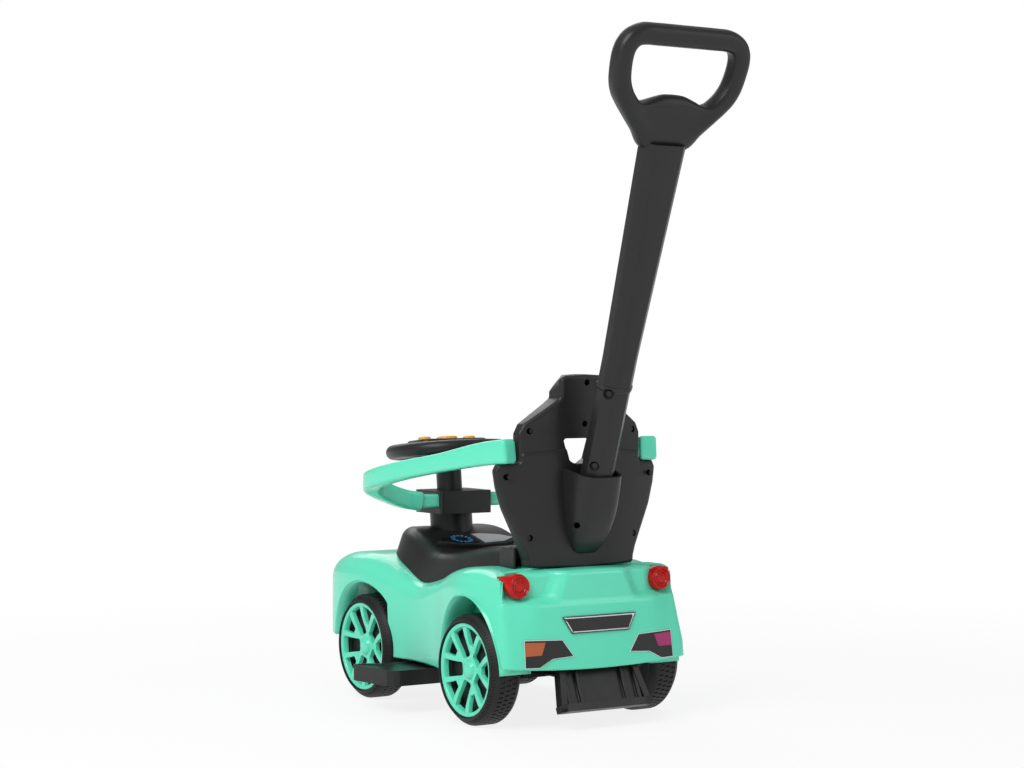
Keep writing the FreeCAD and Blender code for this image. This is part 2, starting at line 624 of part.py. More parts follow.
def tie_rod():
    """Flat link with slots for the knuckle pins and the column's crank pin."""
    rod_y = d.front_axle_y - d.knuckle_arm
    reach = d.kingpin_x + d.link_width / 2 + d.link_slack
    bar = box("link_bar", -reach, rod_y - d.link_width / 2, d.link_low,
              "2 * (kingpin_x + link_width / 2 + link_slack)", "link_width", "link_thick")
    crank_y = d.column_y - d.crank_radius
    tab_y = crank_y - d.link_width / 2
    tab = box("link_tab", -d.link_width, tab_y, d.link_low, "2 * link_width",
              "front_axle_y - knuckle_arm - column_y + crank_radius + link_width / 2", "link_thick")
    slots = []
    hole = d.link_pin_radius + d.link_slack
    pin_room = "2 * (link_pin_radius + 2 * link_slack) + link_slack"
    for name, x, y, room in (("left", -d.kingpin_x, rod_y, pin_room), ("right", d.kingpin_x, rod_y, pin_room),
                             ("middle", 0, crank_y, pin_room + " + crank_swing")):
        slots.append(box("link_slot_" + name, x - hole, y - hole - d.link_slack, d.link_low - d.overrun / 2,
                         "2 * (link_pin_radius + link_slack)", room, "overrun"))
    return cut("link", fuse("link_blank", bar, tab), *slots)


keep(tie_rod(), "tie_rod")


# Steering column and what turns with it

def steering_column():
    """Thick upper tube, thin lower rod, crank arm and crank pin, in the column's own frame."""
    upper = Part.makeCylinder(d.column_radius, d.column_top - d.column_rod_top, Z_AXIS * d.column_rod_top)
    rod = Part.makeCylinder(d.column_rod_radius, d.column_rod_top)
    arm = Part.makeBox(d.link_width, d.crank_radius + d.link_width / 2, d.crank_thick,
                       Vector(-d.link_width / 2, -d.crank_radius - d.link_width / 2, 0))
    pin_drop = d.crank_low - d.link_low + d.link_thick / 2
    pin = Part.makeCylinder(d.link_pin_radius, pin_drop + d.crank_thick / 2,
                            Vector(0, -d.crank_radius, -pin_drop))
    well = Part.makeCylinder(d.column_screw_radius + d.running_gap, d.column_radius,
                             Vector(0, 0, d.column_screw_level),
                             Rotation(Z_AXIS, d.column_screw_turn).multVec(X_AXIS))
    return upper.fuse([rod, arm, pin]).removeSplitter().cut(well)


keep(feature("column", steering_column(), column_place()), "steering_column")


def column_screw():
    """Cross-head screw in the side of the column, below its mouth."""
    face = "column_radius - screw_head"
    step = "column_radius - 2 * screw_head"
    return revolved("column_screw_body", [
        ("0", "0"), (face, "0"), (face, "column_screw_radius"), (step, "column_screw_radius"),
        (step, "screw_shank_radius"), ("0", "screw_shank_radius")])


screw = column_screw()
screw_turn = Placement(Vector(), Rotation(Z_AXIS, d.column_screw_turn))
screw.Placement = column_place(d.column_screw_level) * screw_turn
keep(screw, "column_screw")


def column_collar():
    """Round collar standing on the body around the column."""
    inner = "column_radius + rest_gap"
    body = revolved("collar_turn", [
        (inner, "0"), ("collar_radius", "0"), ("collar_radius", "collar_top"), (inner, "collar_top")],
        "XZ_Plane", "V_Axis")
    body.Placement = column_place()
    return body


collar_blank = column_collar()
doc.recompute()
above_clip = Part.makeBox(d.overrun * 2, d.overrun * 2, d.overrun,
                          Vector(-d.overrun, d.clip_rear_y - d.overrun / 2, d.clip_low))
collar_shape = collar_blank.Shape.cut([body_form(-d.rest_gap, d.overrun), above_clip])
keep(feature("collar", collar_shape), "column_collar")


def column_bush():
    inner = "column_rod_radius + running_gap"
    low = "crank_thick + rest_gap"
    high = "crank_thick + column_bush_height"
    body = revolved("column_bush_turn", [
        (inner, low), ("column_bush_radius", low), ("column_bush_radius", high), (inner, high)],
        "XZ_Plane", "V_Axis")
    body.Placement = column_place()
    return body


keep(column_bush(), "column_bush")


def steering_wheel():
    """Ring, hub and three spokes in the column's frame."""
    ring = Part.makeTorus(d.wheel_ring_radius, d.wheel_tube_radius, Vector(0, 0, d.wheel_level))
    hub = Part.makeCylinder(d.wheel_hub_radius, d.wheel_hub_depth, Vector(0, 0, d.column_top))
    spokes = []
    for turn in WHEEL_SPOKE_TURNS:
        spoke = Part.makeBox(d.wheel_ring_radius, d.wheel_spoke, d.wheel_tube_radius,
                             Vector(0, -d.wheel_spoke / 2, d.column_top))
        spoke.rotate(Vector(), Z_AXIS, turn)
        spokes.append(spoke)
    return ring.fuse([hub] + spokes).removeSplitter()


keep(feature("wheel_ring", steering_wheel(), column_place()), "steering_wheel")
module_level = d.column_top + d.wheel_hub_depth


def sound_module():
    """Rounded cover on the hub with wells for its buttons."""
    top = module_level + d.module_height
    edge = rounded_slab(2 * d.module_half_x, 2 * d.module_half_y, d.module_half_y * MODULE_CORNER_SHARE,
                        Z_AXIS * module_level)
    slab = Part.Face(edge).extrude(Z_AXIS * d.module_height)
    rim = [edge for edge in slab.Edges if edge.BoundBox.ZMin > top - d.rest_gap]
    slab = slab.makeFillet(d.module_height / 3, rim)
    return slab.cut([button_well(x, radius) for _, x, radius in BUTTONS])


BUTTONS = (("horn_button", 0.0, d.horn_radius), ("left_note_button", -d.note_x, d.note_radius),
           ("right_note_button", d.note_x, d.note_radius))


def button_well(x, radius):
    floor = module_level + d.module_height - d.button_rise - d.button_travel
    return Part.makeCylinder(radius + d.rest_gap, d.overrun, Vector(x, 0, floor))


keep(feature("module", sound_module(), column_place()), "sound_module")


def button(name, x, radius):
    """A domed cap that stands proud of its well by the rise and leaves its travel below."""
    floor = module_level + d.module_height - d.button_rise + d.rest_gap
    cap = Part.makeCylinder(radius, 2 * d.button_rise, Vector(x, 0, floor))
    rim = [edge for edge in cap.Edges if edge.BoundBox.ZMin > floor + d.button_rise]
    return feature(name + "_cap", cap.makeFillet(d.button_rise * BUTTON_ROUND_SHARE, rim), column_place())


for cap_name, cap_x, cap_radius in BUTTONS:
    keep(button(cap_name, cap_x, cap_radius), cap_name)


# Wheels: a tyre moulded with its web and hub, and a spoked cover

TYRE_PROFILE = [
    ("tyre_width / 2 - rim_seat_depth - hub_length", "axle_radius + running_gap"),
    ("tyre_width / 2 - rim_seat_depth", "axle_radius + running_gap"),
    ("tyre_width / 2 - rim_seat_depth", "rim_radius + rest_gap"), ("tyre_width / 2", "rim_radius + rest_gap"),
    ("tyre_width / 2", "tyre_radius - tyre_shoulder"), ("tyre_width / 2 - tyre_shoulder", "tyre_radius"),
    ("tyre_width / 6 + tread_groove / 2", "tyre_radius"),
    ("tyre_width / 6", "tyre_radius - tread_groove"), ("tyre_width / 6 - tread_groove / 2", "tyre_radius"),
    ("-tyre_width / 6 + tread_groove / 2", "tyre_radius"), ("-tyre_width / 6", "tyre_radius - tread_groove"),
    ("-tyre_width / 6 - tread_groove / 2", "tyre_radius"), ("-tyre_width / 2 + tyre_shoulder", "tyre_radius"),
    ("-tyre_width / 2", "tyre_radius - tyre_shoulder"), ("-tyre_width / 2", "tyre_bore_radius"),
    ("tyre_width / 2 - rim_seat_depth - wheel_web", "tyre_bore_radius"),
    ("tyre_width / 2 - rim_seat_depth - wheel_web", "hub_radius"),
    ("tyre_width / 2 - rim_seat_depth - hub_length", "hub_radius")]
RIM_PROFILE = [
    ("0", "0"), ("dome_height", "0"), ("dome_shoulder", "dome_radius"), ("rim_plate", "dome_radius"),
    ("rim_plate + rim_dish", "rim_radius - rim_dish"), ("rim_plate + rim_dish", "rim_radius"),
    ("0", "rim_radius")]


def patterned_pocket(body, points):
    """A window through the cover, repeated around the axle."""
    base = pocket(body, outline(body, "YZ_Plane", points), "overrun", True)
    doc.recompute()
    pattern = body.newObject("PartDesign::PolarPattern", body.Name + "_turned")
    pattern.Originals = [base]
    pattern.Axis = (next(item for item in body.Origin.OriginFeatures if item.Role == "X_Axis"), [""])
    pattern.Angle = 360
    pattern.Occurrences = SPOKE_COUNT
    body.Tip = pattern
    doc.recompute()


def rim_cover(name):
    body = revolved("rim_" + name, RIM_PROFILE)
    for shares in (FORK_WINDOW_SHARES, DEEP_WINDOW_SHARES):
        patterned_pocket(body, shared(shares, "window_outer_radius", "window_outer_radius"))
    return body


def wheel(name, side, outer_x, y):
    """Tyre and cover of one wheel, placed with the cover outwards."""
    turn = Rotation(Z_AXIS, 0 if side > 0 else 180)
    tyre = revolved("tyre_" + name, TYRE_PROFILE)
    tyre.Placement = Placement(Vector(side * (outer_x - d.tyre_width / 2), y, d.tyre_radius), turn)
    keep(tyre, "tyre_" + name)
    cover = rim_cover(name)
    cover.Placement = Placement(Vector(side * (outer_x - d.rim_seat_depth), y, d.tyre_radius), turn)
    keep(cover, "rim_" + name)


for side_name, side_sign in SIDES:
    wheel("rear_" + side_name, side_sign, d.rear_outer_x, d.rear_axle_y)
    wheel("front_" + side_name, side_sign, d.front_outer_x, d.front_axle_y)


# Backrest shells, handle socket and screws

BACK_STEP = "rail_rear_z - rail_tall / 2 - panel_gap"
BACK_OUTLINE = mirrored([
    ("back_foot_half", "body_top + panel_gap"), ("back_waist_half", "back_waist_z"),
    ("back_side_half", "back_side_z"), ("back_side_half", BACK_STEP), ("back_step_half", BACK_STEP),
    ("back_step_half", "back_neck_z"), ("back_head_half", "back_head_low"),
    ("back_head_half", "back_head_high"), ("back_crown_half", "back_crown_z")])
BACK_ROOM = mirrored([
    ("back_foot_half - shell_wall * 2", "body_top + panel_gap + shell_wall"),
    ("back_waist_half - shell_wall * 2", "back_waist_z"), ("back_side_half - shell_wall * 2", "back_side_z"),
    ("back_side_half - shell_wall * 2", "window_low - shell_wall * 2")])
BACK_WINDOW = mirrored([(across, "window_low + " + up) for across, up in
                        shared(BACK_WINDOW_SHARES, "window_half", "(window_high - window_low)")])


def backrest_shell(name, thick, forward):
    """One backrest half, hollowed from its split face, with bevelled outer edges and the window."""
    body = new_body(name)
    base = pad(body, outline(body, "XZ_Plane", BACK_OUTLINE), thick)
    if forward:
        base.Reversed = True
        doc.recompute()
    face_y = body.Shape.BoundBox.YMax if forward else body.Shape.BoundBox.YMin
    rim = edges_where(base.Shape, lambda edge: max(abs(edge.BoundBox.YMin - face_y),
                                                   abs(edge.BoundBox.YMax - face_y)) < d.rest_gap)
    soften(body, base, rim, "back_edge", "PartDesign::Chamfer")
    pocket(body, outline(body, "XZ_Plane", BACK_ROOM), thick + " - shell_wall", not forward)
    window = outline(body, "XZ_Plane", BACK_WINDOW)
    pocket(body, window, "overrun", not forward)
    body.Placement = Placement(Vector(0, d.back_split_y, 0), Rotation())
    return body


def socket_form():
    """The bulge that holds the push handle, from a rounded foot to an open mouth."""
    turn = Rotation(X_AXIS, d.handle_lean)
    axis = turn.multVec(Z_AXIS)
    start = Vector(0, d.handle_y, d.handle_z)
    wires = []
    middle = (d.socket_low + d.socket_high) / 2
    for level, half in ((d.socket_low, d.socket_foot_half), (middle, d.socket_half * SOCKET_MIDDLE_SHARE),
                        (d.socket_high, d.socket_half)):
        centre = start + axis * ((level - d.handle_z) / axis.z)
        depth = d.sleeve_depth + 2 * d.sleeve_wall * (half / d.socket_half)
        front = d.back_split_y - d.back_rear_thick + d.back_edge
        rear = min(centre.y - depth / 2 * (half / d.socket_half), front - d.back_edge)
        corners = [Vector(-half, rear, level), Vector(half, rear, level), Vector(half, front, level),
                   Vector(-half, front, level)]
        round_rear = min(half, front - rear) * SOCKET_ROUND_SHARE
        wires.append(rounded_wire(corners, [round_rear, round_rear, 0, 0]))
    return Part.makeLoft(wires, True, True)


def handle_place(along=0.0):
    """Where a piece on the push handle's axis sits, at a distance from the sleeve's foot."""
    turn = Rotation(X_AXIS, d.handle_lean)
    return Placement(Vector(0, d.handle_y, d.handle_z) + turn.multVec(Z_AXIS) * along, turn)


def socket_room():
    """The space that the handle sleeve slides in."""
    wire = rounded_slab(d.sleeve_width + 2 * d.rest_gap, d.sleeve_depth + 2 * d.rest_gap, d.sleeve_corner,
                        Vector(0, 0, -d.rest_gap))
    room = Part.Face(wire).extrude(Z_AXIS * (d.sleeve_length + d.rest_gap))
    room.Placement = handle_place()
    return room


front_half = backrest_shell("back_front", "back_front_thick", True)
rear_half = backrest_shell("back_rear", "back_rear_thick", False)


def hinge_lugs():
    """Two eyes on the front shell for the seat's hinge pin."""
    lugs = []
    for _, side in SIDES:
        x = side * (d.hinge_half + d.rest_gap)
        eye = Part.makeCylinder(d.hinge_radius - d.rest_gap, d.hinge_lug - d.rest_gap,
                                Vector(x, hinge_y, d.hinge_z), X_AXIS * side)
        low = Vector(min(x, x + side * (d.hinge_lug - d.rest_gap)),
                     d.back_split_y + d.back_front_thick - d.shell_wall, d.hinge_z - d.hinge_radius / 2)
        arm = Part.makeBox(d.hinge_lug - d.rest_gap, hinge_y - low.y, d.hinge_radius, low)
        lugs.append(eye.fuse(arm))
    return lugs


doc.recompute()
eyes = front_half.Shape.fuse(hinge_lugs()).cut(
    x_rod(hinge_y, d.hinge_z, d.hinge_pin_radius + d.running_gap, hinge_reach))
keep(feature("back_front_eyes", eyes.removeSplitter()), "backrest_front")


def screw_spots():
    """Where the backrest screws enter, inside the outline's corners."""
    inset = d.back_screw_well + d.back_screw_radius
    spots = [(d.back_waist_half - inset, d.back_waist_z + inset), (d.back_side_half - inset, d.back_side_z),
             (d.back_step_half - inset, d.back_neck_z)]
    return [(side * x, z) for x, z in spots for _, side in SIDES]


def back_drilled():
    rear = d.back_split_y - d.back_rear_thick
    wells_at = [Part.makeCylinder(d.back_screw_radius + d.rest_gap, d.back_screw_well,
                                  Vector(x, rear, z), Y_AXIS) for x, z in screw_spots()]
    joined = rear_half.Shape.fuse(socket_form()).removeSplitter()
    return joined.cut([socket_room()] + wells_at)


keep(feature("back_rear_socket", back_drilled()), "backrest_rear")


def backrest_screws():
    """Headed screws through the rear shell into the front one."""
    rear = d.back_split_y - d.back_rear_thick
    made = []
    for x, z in screw_spots():
        head = Part.makeCylinder(d.back_screw_radius, d.screw_head,
                                 Vector(x, rear + d.back_screw_well - d.screw_head, z), Y_AXIS)
        shank = Part.makeCylinder(d.screw_shank_radius, d.back_rear_thick,
                                  Vector(x, rear + d.back_screw_well, z), Y_AXIS)
        made.append(head.fuse(shank).removeSplitter())
    return Part.Compound(made)


keep(feature("back_screw_set", backrest_screws()), "backrest_screws")


# Push handle: sleeve halves, rod and grip, each in the handle's own frame

def handle_loft(widths, corner):
    """A rounded tube through (distance, width, depth) stations."""
    wires = [rounded_slab(width, depth, corner, Z_AXIS * along) for along, width, depth in widths]
    return Part.makeLoft(wires, True, False)


def sleeve_half(rearward):
    """Front or rear half of the sleeve, around the rod's tenon."""
    full = handle_loft([(along, d.sleeve_width, d.sleeve_depth) for along in (0, d.sleeve_length)],
                       d.sleeve_corner)
    wall = 2 * d.sleeve_wall
    room = handle_loft([(d.sleeve_wall, d.sleeve_width - wall, d.sleeve_depth - wall),
                        (d.sleeve_length + d.overrun, d.sleeve_width - wall, d.sleeve_depth - wall)],
                       d.sleeve_corner - d.sleeve_wall)
    side = Part.makeBox(2 * d.sleeve_width, d.sleeve_depth, d.sleeve_length + d.overrun,
                        Vector(-d.sleeve_width, -d.sleeve_depth if rearward else 0, -d.overrun / 2))
    half = full.cut(room).common(side)
    if rearward:
        holes = [Part.makeCylinder(d.sleeve_screw_radius + d.running_gap, d.sleeve_depth,
                                   Vector(x, 0, along), -Y_AXIS) for x, along in sleeve_spots()]
        half = half.cut(holes)
    return half


def sleeve_spots():
    near = d.sleeve_corner
    return [(-near / 2, near), (-near / 2, d.sleeve_length - near)]


keep(feature("sleeve_f", sleeve_half(False), handle_place()), "handle_sleeve_front")
keep(feature("sleeve_r", sleeve_half(True), handle_place()), "handle_sleeve_rear")


def push_rod():
    """Tapered hollow rod with a tenon that goes into the sleeve."""
    wall = 2 * (d.sleeve_wall + d.running_gap)
    tenon = handle_loft([(d.sleeve_length - d.tenon_length, d.sleeve_width - wall, d.sleeve_depth - wall),
                         (d.sleeve_length, d.sleeve_width - wall, d.sleeve_depth - wall)],
                        d.sleeve_corner - d.sleeve_wall)
    stations = []
    for along, spread in ROD_STATION_SHARES:
        stations.append((d.sleeve_length + along * d.rod_length,
                         d.sleeve_width + spread * (d.rod_top_width - d.sleeve_width),
                         d.sleeve_depth + spread * (d.rod_top_depth - d.sleeve_depth)))
    outer = handle_loft(stations, d.sleeve_corner)
    thin = [(along, width - 2 * wall, depth - 2 * wall) for along, width, depth in stations]
    thin[0] = (d.sleeve_length - d.tenon_length - d.rest_gap,) + thin[0][1:]
    room = handle_loft(thin, d.sleeve_corner - 2 * d.sleeve_wall)
    return outer.fuse(tenon).removeSplitter().cut(room)


keep(feature("rod", push_rod(), handle_place()), "push_rod")


def grip_wire(shares):
    """A closed smooth outline from right-half points."""
    low = d.sleeve_length + d.rod_length - d.grip_lap
    right = [Vector(x * d.grip_half, 0, low + z * d.grip_height) for x, z in shares]
    left = [Vector(-point.x, 0, point.z) for point in reversed(right[1:-1])]
    curve = Part.BSplineCurve()
    curve.interpolate(Points=right + left, PeriodicFlag=True)
    return Part.Wire(curve.toShape())


def push_grip():
    """D-shaped grip with a hand opening, rounded along both faces, over the rod's top."""
    face = Part.Face(grip_wire(GRIP_OUTER_SHARES))
    hole = Part.Face(grip_wire(GRIP_INNER_SHARES))
    thick = Y_AXIS * d.grip_thick
    slab = face.extrude(thick).cut(hole.extrude(thick))
    slab.translate(Y_AXIS * (-d.grip_thick / 2))
    rims = [edge for edge in slab.Edges if edge.BoundBox.YLength < d.rest_gap]
    slab = slab.makeFillet(d.grip_round, rims)
    lap = d.sleeve_length + d.rod_length
    block = rounded_slab(2 * d.rod_top_width, 2 * d.rod_top_depth, d.sleeve_corner,
                         Z_AXIS * (lap - d.overrun))
    return slab.cut(Part.Face(block).extrude(Z_AXIS * d.overrun))


keep(feature("grip", push_grip(), handle_place()), "push_grip")


def handle_screws():
    made = []
    for x, along in sleeve_spots():
        made.append(Part.makeCylinder(d.sleeve_screw_radius, d.sleeve_wall - d.rest_gap,
                                      Vector(x, d.rest_gap - d.sleeve_depth / 2, along), Y_AXIS))
    return Part.Compound(made)


keep(feature("handle_screw_set", handle_screws(), handle_place()), "handle_screws")


# Guard rail and clip

def rail_section(centre, heading, tall, thick):
    """An upright rounded rectangle across the rail's heading."""
    across = Vector(heading.y, -heading.x, 0).normalize()
    corners = [centre + across * (sx * thick / 2) + Z_AXIS * (sz * tall / 2)
               for sx, sz in ((-1, -1), (1, -1), (1, 1), (-1, 1))]
    corner = min(d.rail_corner, RAIL_ROUND_SHARE * tall)
    return rounded_wire(corners, [corner] * len(corners))


def guard_rail():
    """A smooth band through the rail's stations, resampled evenly, then mirrored."""
    places = []
    sizes_at = []
    for x, y, z, tall, thick in RAIL_STATION_SHARES:
        places.append(Vector(x * d.rail_half, d.rail_rear_y + y * d.rail_reach,
                             d.rail_rear_z - z * d.rail_drop))
        sizes_at.append((tall * d.rail_tall, thick * d.rail_thick))
    middle = Vector(0, d.rail_rear_y + d.rail_reach, d.rail_rear_z - d.rail_drop)
    tongue = (d.tongue_tall, d.tongue_thick)
    places += [middle + X_AXIS * (d.clip_half + d.tongue_tall), middle + X_AXIS * d.clip_half / 2, middle]
    sizes_at += [tongue, tongue, tongue]
    places += [Vector(-place.x, place.y, place.z) for place in reversed(places[:-1])]
    sizes_at += list(reversed(sizes_at[:-1]))
    line = Part.BSplineCurve()
    line.interpolate(places)
    knots = [line.parameter(place) for place in places]
    wires = []
    for i in range(RAIL_SECTIONS + 1):
        at = line.FirstParameter + (line.LastParameter - line.FirstParameter) * i / RAIL_SECTIONS
        span = max(j for j, knot in enumerate(knots[:-1]) if knot <= at + EVEN_STEP)
        share = (at - knots[span]) / (knots[span + 1] - knots[span])
        tall, thick = [low + (high - low) * share for low, high in zip(sizes_at[span], sizes_at[span + 1])]
        wires.append(rail_section(line.value(at), line.tangent(at)[0], tall, thick))
    return Part.makeLoft(wires, True, False)


keep(feature("rail", guard_rail()), "guard_rail")


def rail_clip():
    """Block around the column with a slot for the rail's tongue."""
    body = new_body("clip_block")
    front = "clip_rear_y + clip_depth"
    points = [("-clip_half", "clip_rear_y"), ("clip_half", "clip_rear_y"), ("clip_half", front),
              ("-clip_half", front)]
    base = pad(body, outline(body, "XY_Plane", points), "clip_tall")
    upright = edges_where(base.Shape, lambda edge: edge.BoundBox.ZLength > d.clip_tall - d.rest_gap)
    soften(body, base, upright, "clip_edge")
    body.Placement = Placement(Vector(0, 0, d.clip_low), Rotation())
    slot_y = d.rail_rear_y + d.rail_reach - d.tongue_thick / 2 - d.rest_gap
    slot_z = d.rail_rear_z - d.rail_drop - d.tongue_tall / 2 - d.rest_gap
    slot = box("clip_slot", -d.clip_half - d.overrun, slot_y, slot_z, "2 * (clip_half + overrun)",
               "tongue_thick + 2 * rest_gap", "tongue_tall + 2 * rest_gap")
    bore = doc.addObject("Part::Cylinder", "clip_bore")
    bore.setExpression("Radius", bound("column_radius + rest_gap"))
    bore.setExpression("Height", bound("column_top + overrun"))
    bore.Placement = column_place()
    return cut("clip", body, slot, bore)


keep(rail_clip(), "guard_rail_clip")


# Lamps

def tail_lamp(name, side):
    """Teardrop lens on the scoop's wall, its point running outwards, with a raised round bezel."""
    radius = d.tail_lamp_radius
    tip = Vector(d.tail_lamp_tip, radius * TAIL_TIP_SHARE, 0)
    swing = math.atan2(tip.y, tip.x)
    open_angle = math.acos(radius / tip.Length)
    touch = [Vector(math.cos(swing + turn), math.sin(swing + turn), 0) * radius
             for turn in (open_angle, -open_angle)]
    far_side = Vector(-math.cos(swing), -math.sin(swing), 0) * radius
    edges = [Part.LineSegment(tip, touch[0]), Part.Arc(touch[0], far_side, touch[1]),
             Part.LineSegment(touch[1], tip)]
    wire = Part.Wire([edge.toShape() for edge in edges])
    plate = Part.Face(wire).extrude(Z_AXIS * d.tail_lamp_depth * TAIL_PLATE_SHARE)
    bezel = Part.makeCylinder(radius, d.tail_lamp_depth)
    rim = [edge for edge in bezel.Edges if edge.BoundBox.ZMin > d.tail_lamp_depth - d.rest_gap]
    lens = plate.fuse(bezel.makeFillet(d.tail_lamp_depth / 3, rim)).removeSplitter()
    if side < 0:
        lens = lens.mirror(Vector(), X_AXIS)
    place = Vector(side * (d.body_half_width - d.tail_lamp_inset), d.tail_lamp_y, d.tail_lamp_z)
    return feature("tail_lens_" + name, lens, Placement(place, Rotation(X_AXIS, 90)))


for side_name, side_sign in SIDES:
    keep(tail_lamp(side_name, side_sign), "tail_light_" + side_name)


def head_lamp(name, side):
    body = revolved("head_lens_" + name, [
        ("0", "0"), ("head_lamp_radius", "0"), ("head_lamp_radius", "head_lamp_edge"),
        ("head_lamp_flat", "head_lamp_depth"), ("0", "head_lamp_depth + shell_wall")], "XZ_Plane", "V_Axis")
    place = Vector(side * head_lamp_x, d.head_lamp_y, d.head_lamp_z)
    body.Placement = Placement(place, Rotation(X_AXIS, -90))
    return body


for side_name, side_sign in SIDES:
    keep(head_lamp(side_name, side_sign), "headlight_" + side_name)


# Rear support, footrests and their tray

def rear_support():
    """Leaning anti-tip plate with side ribs and a foot lip, hung from a tongue on the floor pan."""
    body = new_body("support_plate")
    points = mirrored([("support_foot_half", "-support_drop"), ("support_top_half", "0")])
    pad(body, outline(body, "XZ_Plane", points), "support_thick")
    frame = Placement(Vector(0, d.support_y, d.support_z), Rotation(X_AXIS, -d.support_lean))
    body.Placement = frame
    parts = [body]
    for name, side in SIDES:
        for i in range(SUPPORT_RIBS):
            x = side * (d.support_top_half - d.support_rib - d.support_rib_step * i) - d.support_rib / 2
            rib = box("support_rib_%s_%d" % (name, i), 0, 0, 0, "support_rib", "support_thick + support_rib",
                      "support_drop")
            foot = Vector(x, -d.support_thick - d.support_rib, -d.support_drop)
            rib.Placement = frame * Placement(foot, Rotation())
            parts.append(rib)
    lip = box("support_lip", 0, 0, 0, "2 * support_foot_half", "support_thick + support_rib", "support_lip")
    foot = Vector(-d.support_foot_half, -d.support_thick - d.support_rib, -d.support_drop)
    lip.Placement = frame * Placement(foot, Rotation())
    tongue = box("support_tongue", -d.support_top_half, d.support_y - d.support_thick, d.pan_low,
                 "2 * support_top_half", "pan_rear_y - support_y + support_thick", "pan_thick")
    return fuse("support", tongue, lip, *parts)


keep(rear_support(), "rear_support")


def footrest(name, side):
    """Sliding foot plate with a recessed tread."""
    body = new_body("foot_" + name)
    rear = "footrest_rear_y"
    front = "footrest_rear_y + footrest_depth"
    points = [("footrest_inner_x", rear), ("footrest_outer_x", rear), ("footrest_outer_x", front),
              ("footrest_inner_x", front)]
    if side < 0:
        points = [("-" + across, up) for across, up in points]
    base = pad(body, outline(body, "XY_Plane", points), "footrest_thick")
    outer = edges_where(base.Shape, lambda edge: edge.BoundBox.ZLength > d.footrest_thick - d.rest_gap
                        and abs(edge.BoundBox.XMin) > d.footrest_outer_x - d.rest_gap)
    soften(body, base, outer, "footrest_corner")
    inner = "footrest_outer_x - footrest_border - tread_length"
    tread = [(inner, rear + " + footrest_border"),
             ("footrest_outer_x - footrest_border", rear + " + footrest_border"),
             ("footrest_outer_x - footrest_border", front + " - footrest_border"),
             (inner, front + " - footrest_border")]
    if side < 0:
        tread = [("-(%s)" % across, up) for across, up in tread]
    sketch = outline(body, "XY_Plane", tread)
    sketch.setExpression("AttachmentOffset.Base.z", bound("footrest_thick"))
    doc.recompute()
    pocket(body, sketch, "footrest_recess")
    body.Placement = Placement(Vector(0, 0, d.footrest_low), Rotation())
    return body


for side_name, side_sign in SIDES:
    keep(footrest(side_name, side_sign), "footrest_" + side_name)


def footrest_tray():
    """Open-ended channel under the floor pan that guides both footrests."""
    low = d.footrest_low - d.rest_gap - d.tray_wall
    rear = d.footrest_rear_y - d.rest_gap
    outer = box("tray_outer", -d.tray_half, rear - d.tray_wall, low, "2 * tray_half",
                "footrest_depth + 2 * (rest_gap + tray_wall)",
                "pan_low - footrest_low + rest_gap + tray_wall")
    inner = box("tray_room", -d.tray_half - d.overrun, rear, d.footrest_low - d.rest_gap,
                "2 * (tray_half + overrun)", "footrest_depth + 2 * rest_gap", "footrest_thick + 2 * rest_gap")
    return cut("tray", outer, inner)


keep(footrest_tray(), "footrest_tray")


def chassis_screws():
    """Headed screws from below through the pan into the tub's floor."""
    made = []
    for y in (d.tub_rear_y + d.screw_x / 2, d.footrest_rear_y - d.screw_x / 2):
        for _, side in SIDES:
            x = side * d.screw_x
            head = Part.makeCylinder(d.screw_head_radius, d.screw_head,
                                     Vector(x, y, d.pan_low - d.screw_head))
            shank = Part.makeCylinder(d.screw_shank_radius, d.screw_bite, Vector(x, y, d.pan_low))
            made.append(head.fuse(shank).removeSplitter())
    return Part.Compound(made)


keep(feature("pan_screws", chassis_screws()), "chassis_screws")

doc.recompute()
for item in doc.Objects:
    if "Invalid" in item.State or "Error" in item.State:
        raise RuntimeError("failed object " + item.Label)
for piece in pieces:
    if piece.Shape.isNull() or not piece.Shape.isValid():
        raise RuntimeError("bad shape in " + piece.Label)
os.makedirs("parts", exist_ok=True)
for piece in pieces:
    piece.Shape.exportStep("parts/%s.step" % piece.Label)
    print("%-24s solids %d volume %.0f mm3" % (piece.Label, len(piece.Shape.Solids), piece.Shape.Volume))
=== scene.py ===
import json
import math

import bmesh
import bpy
from mathutils import Matrix, Vector

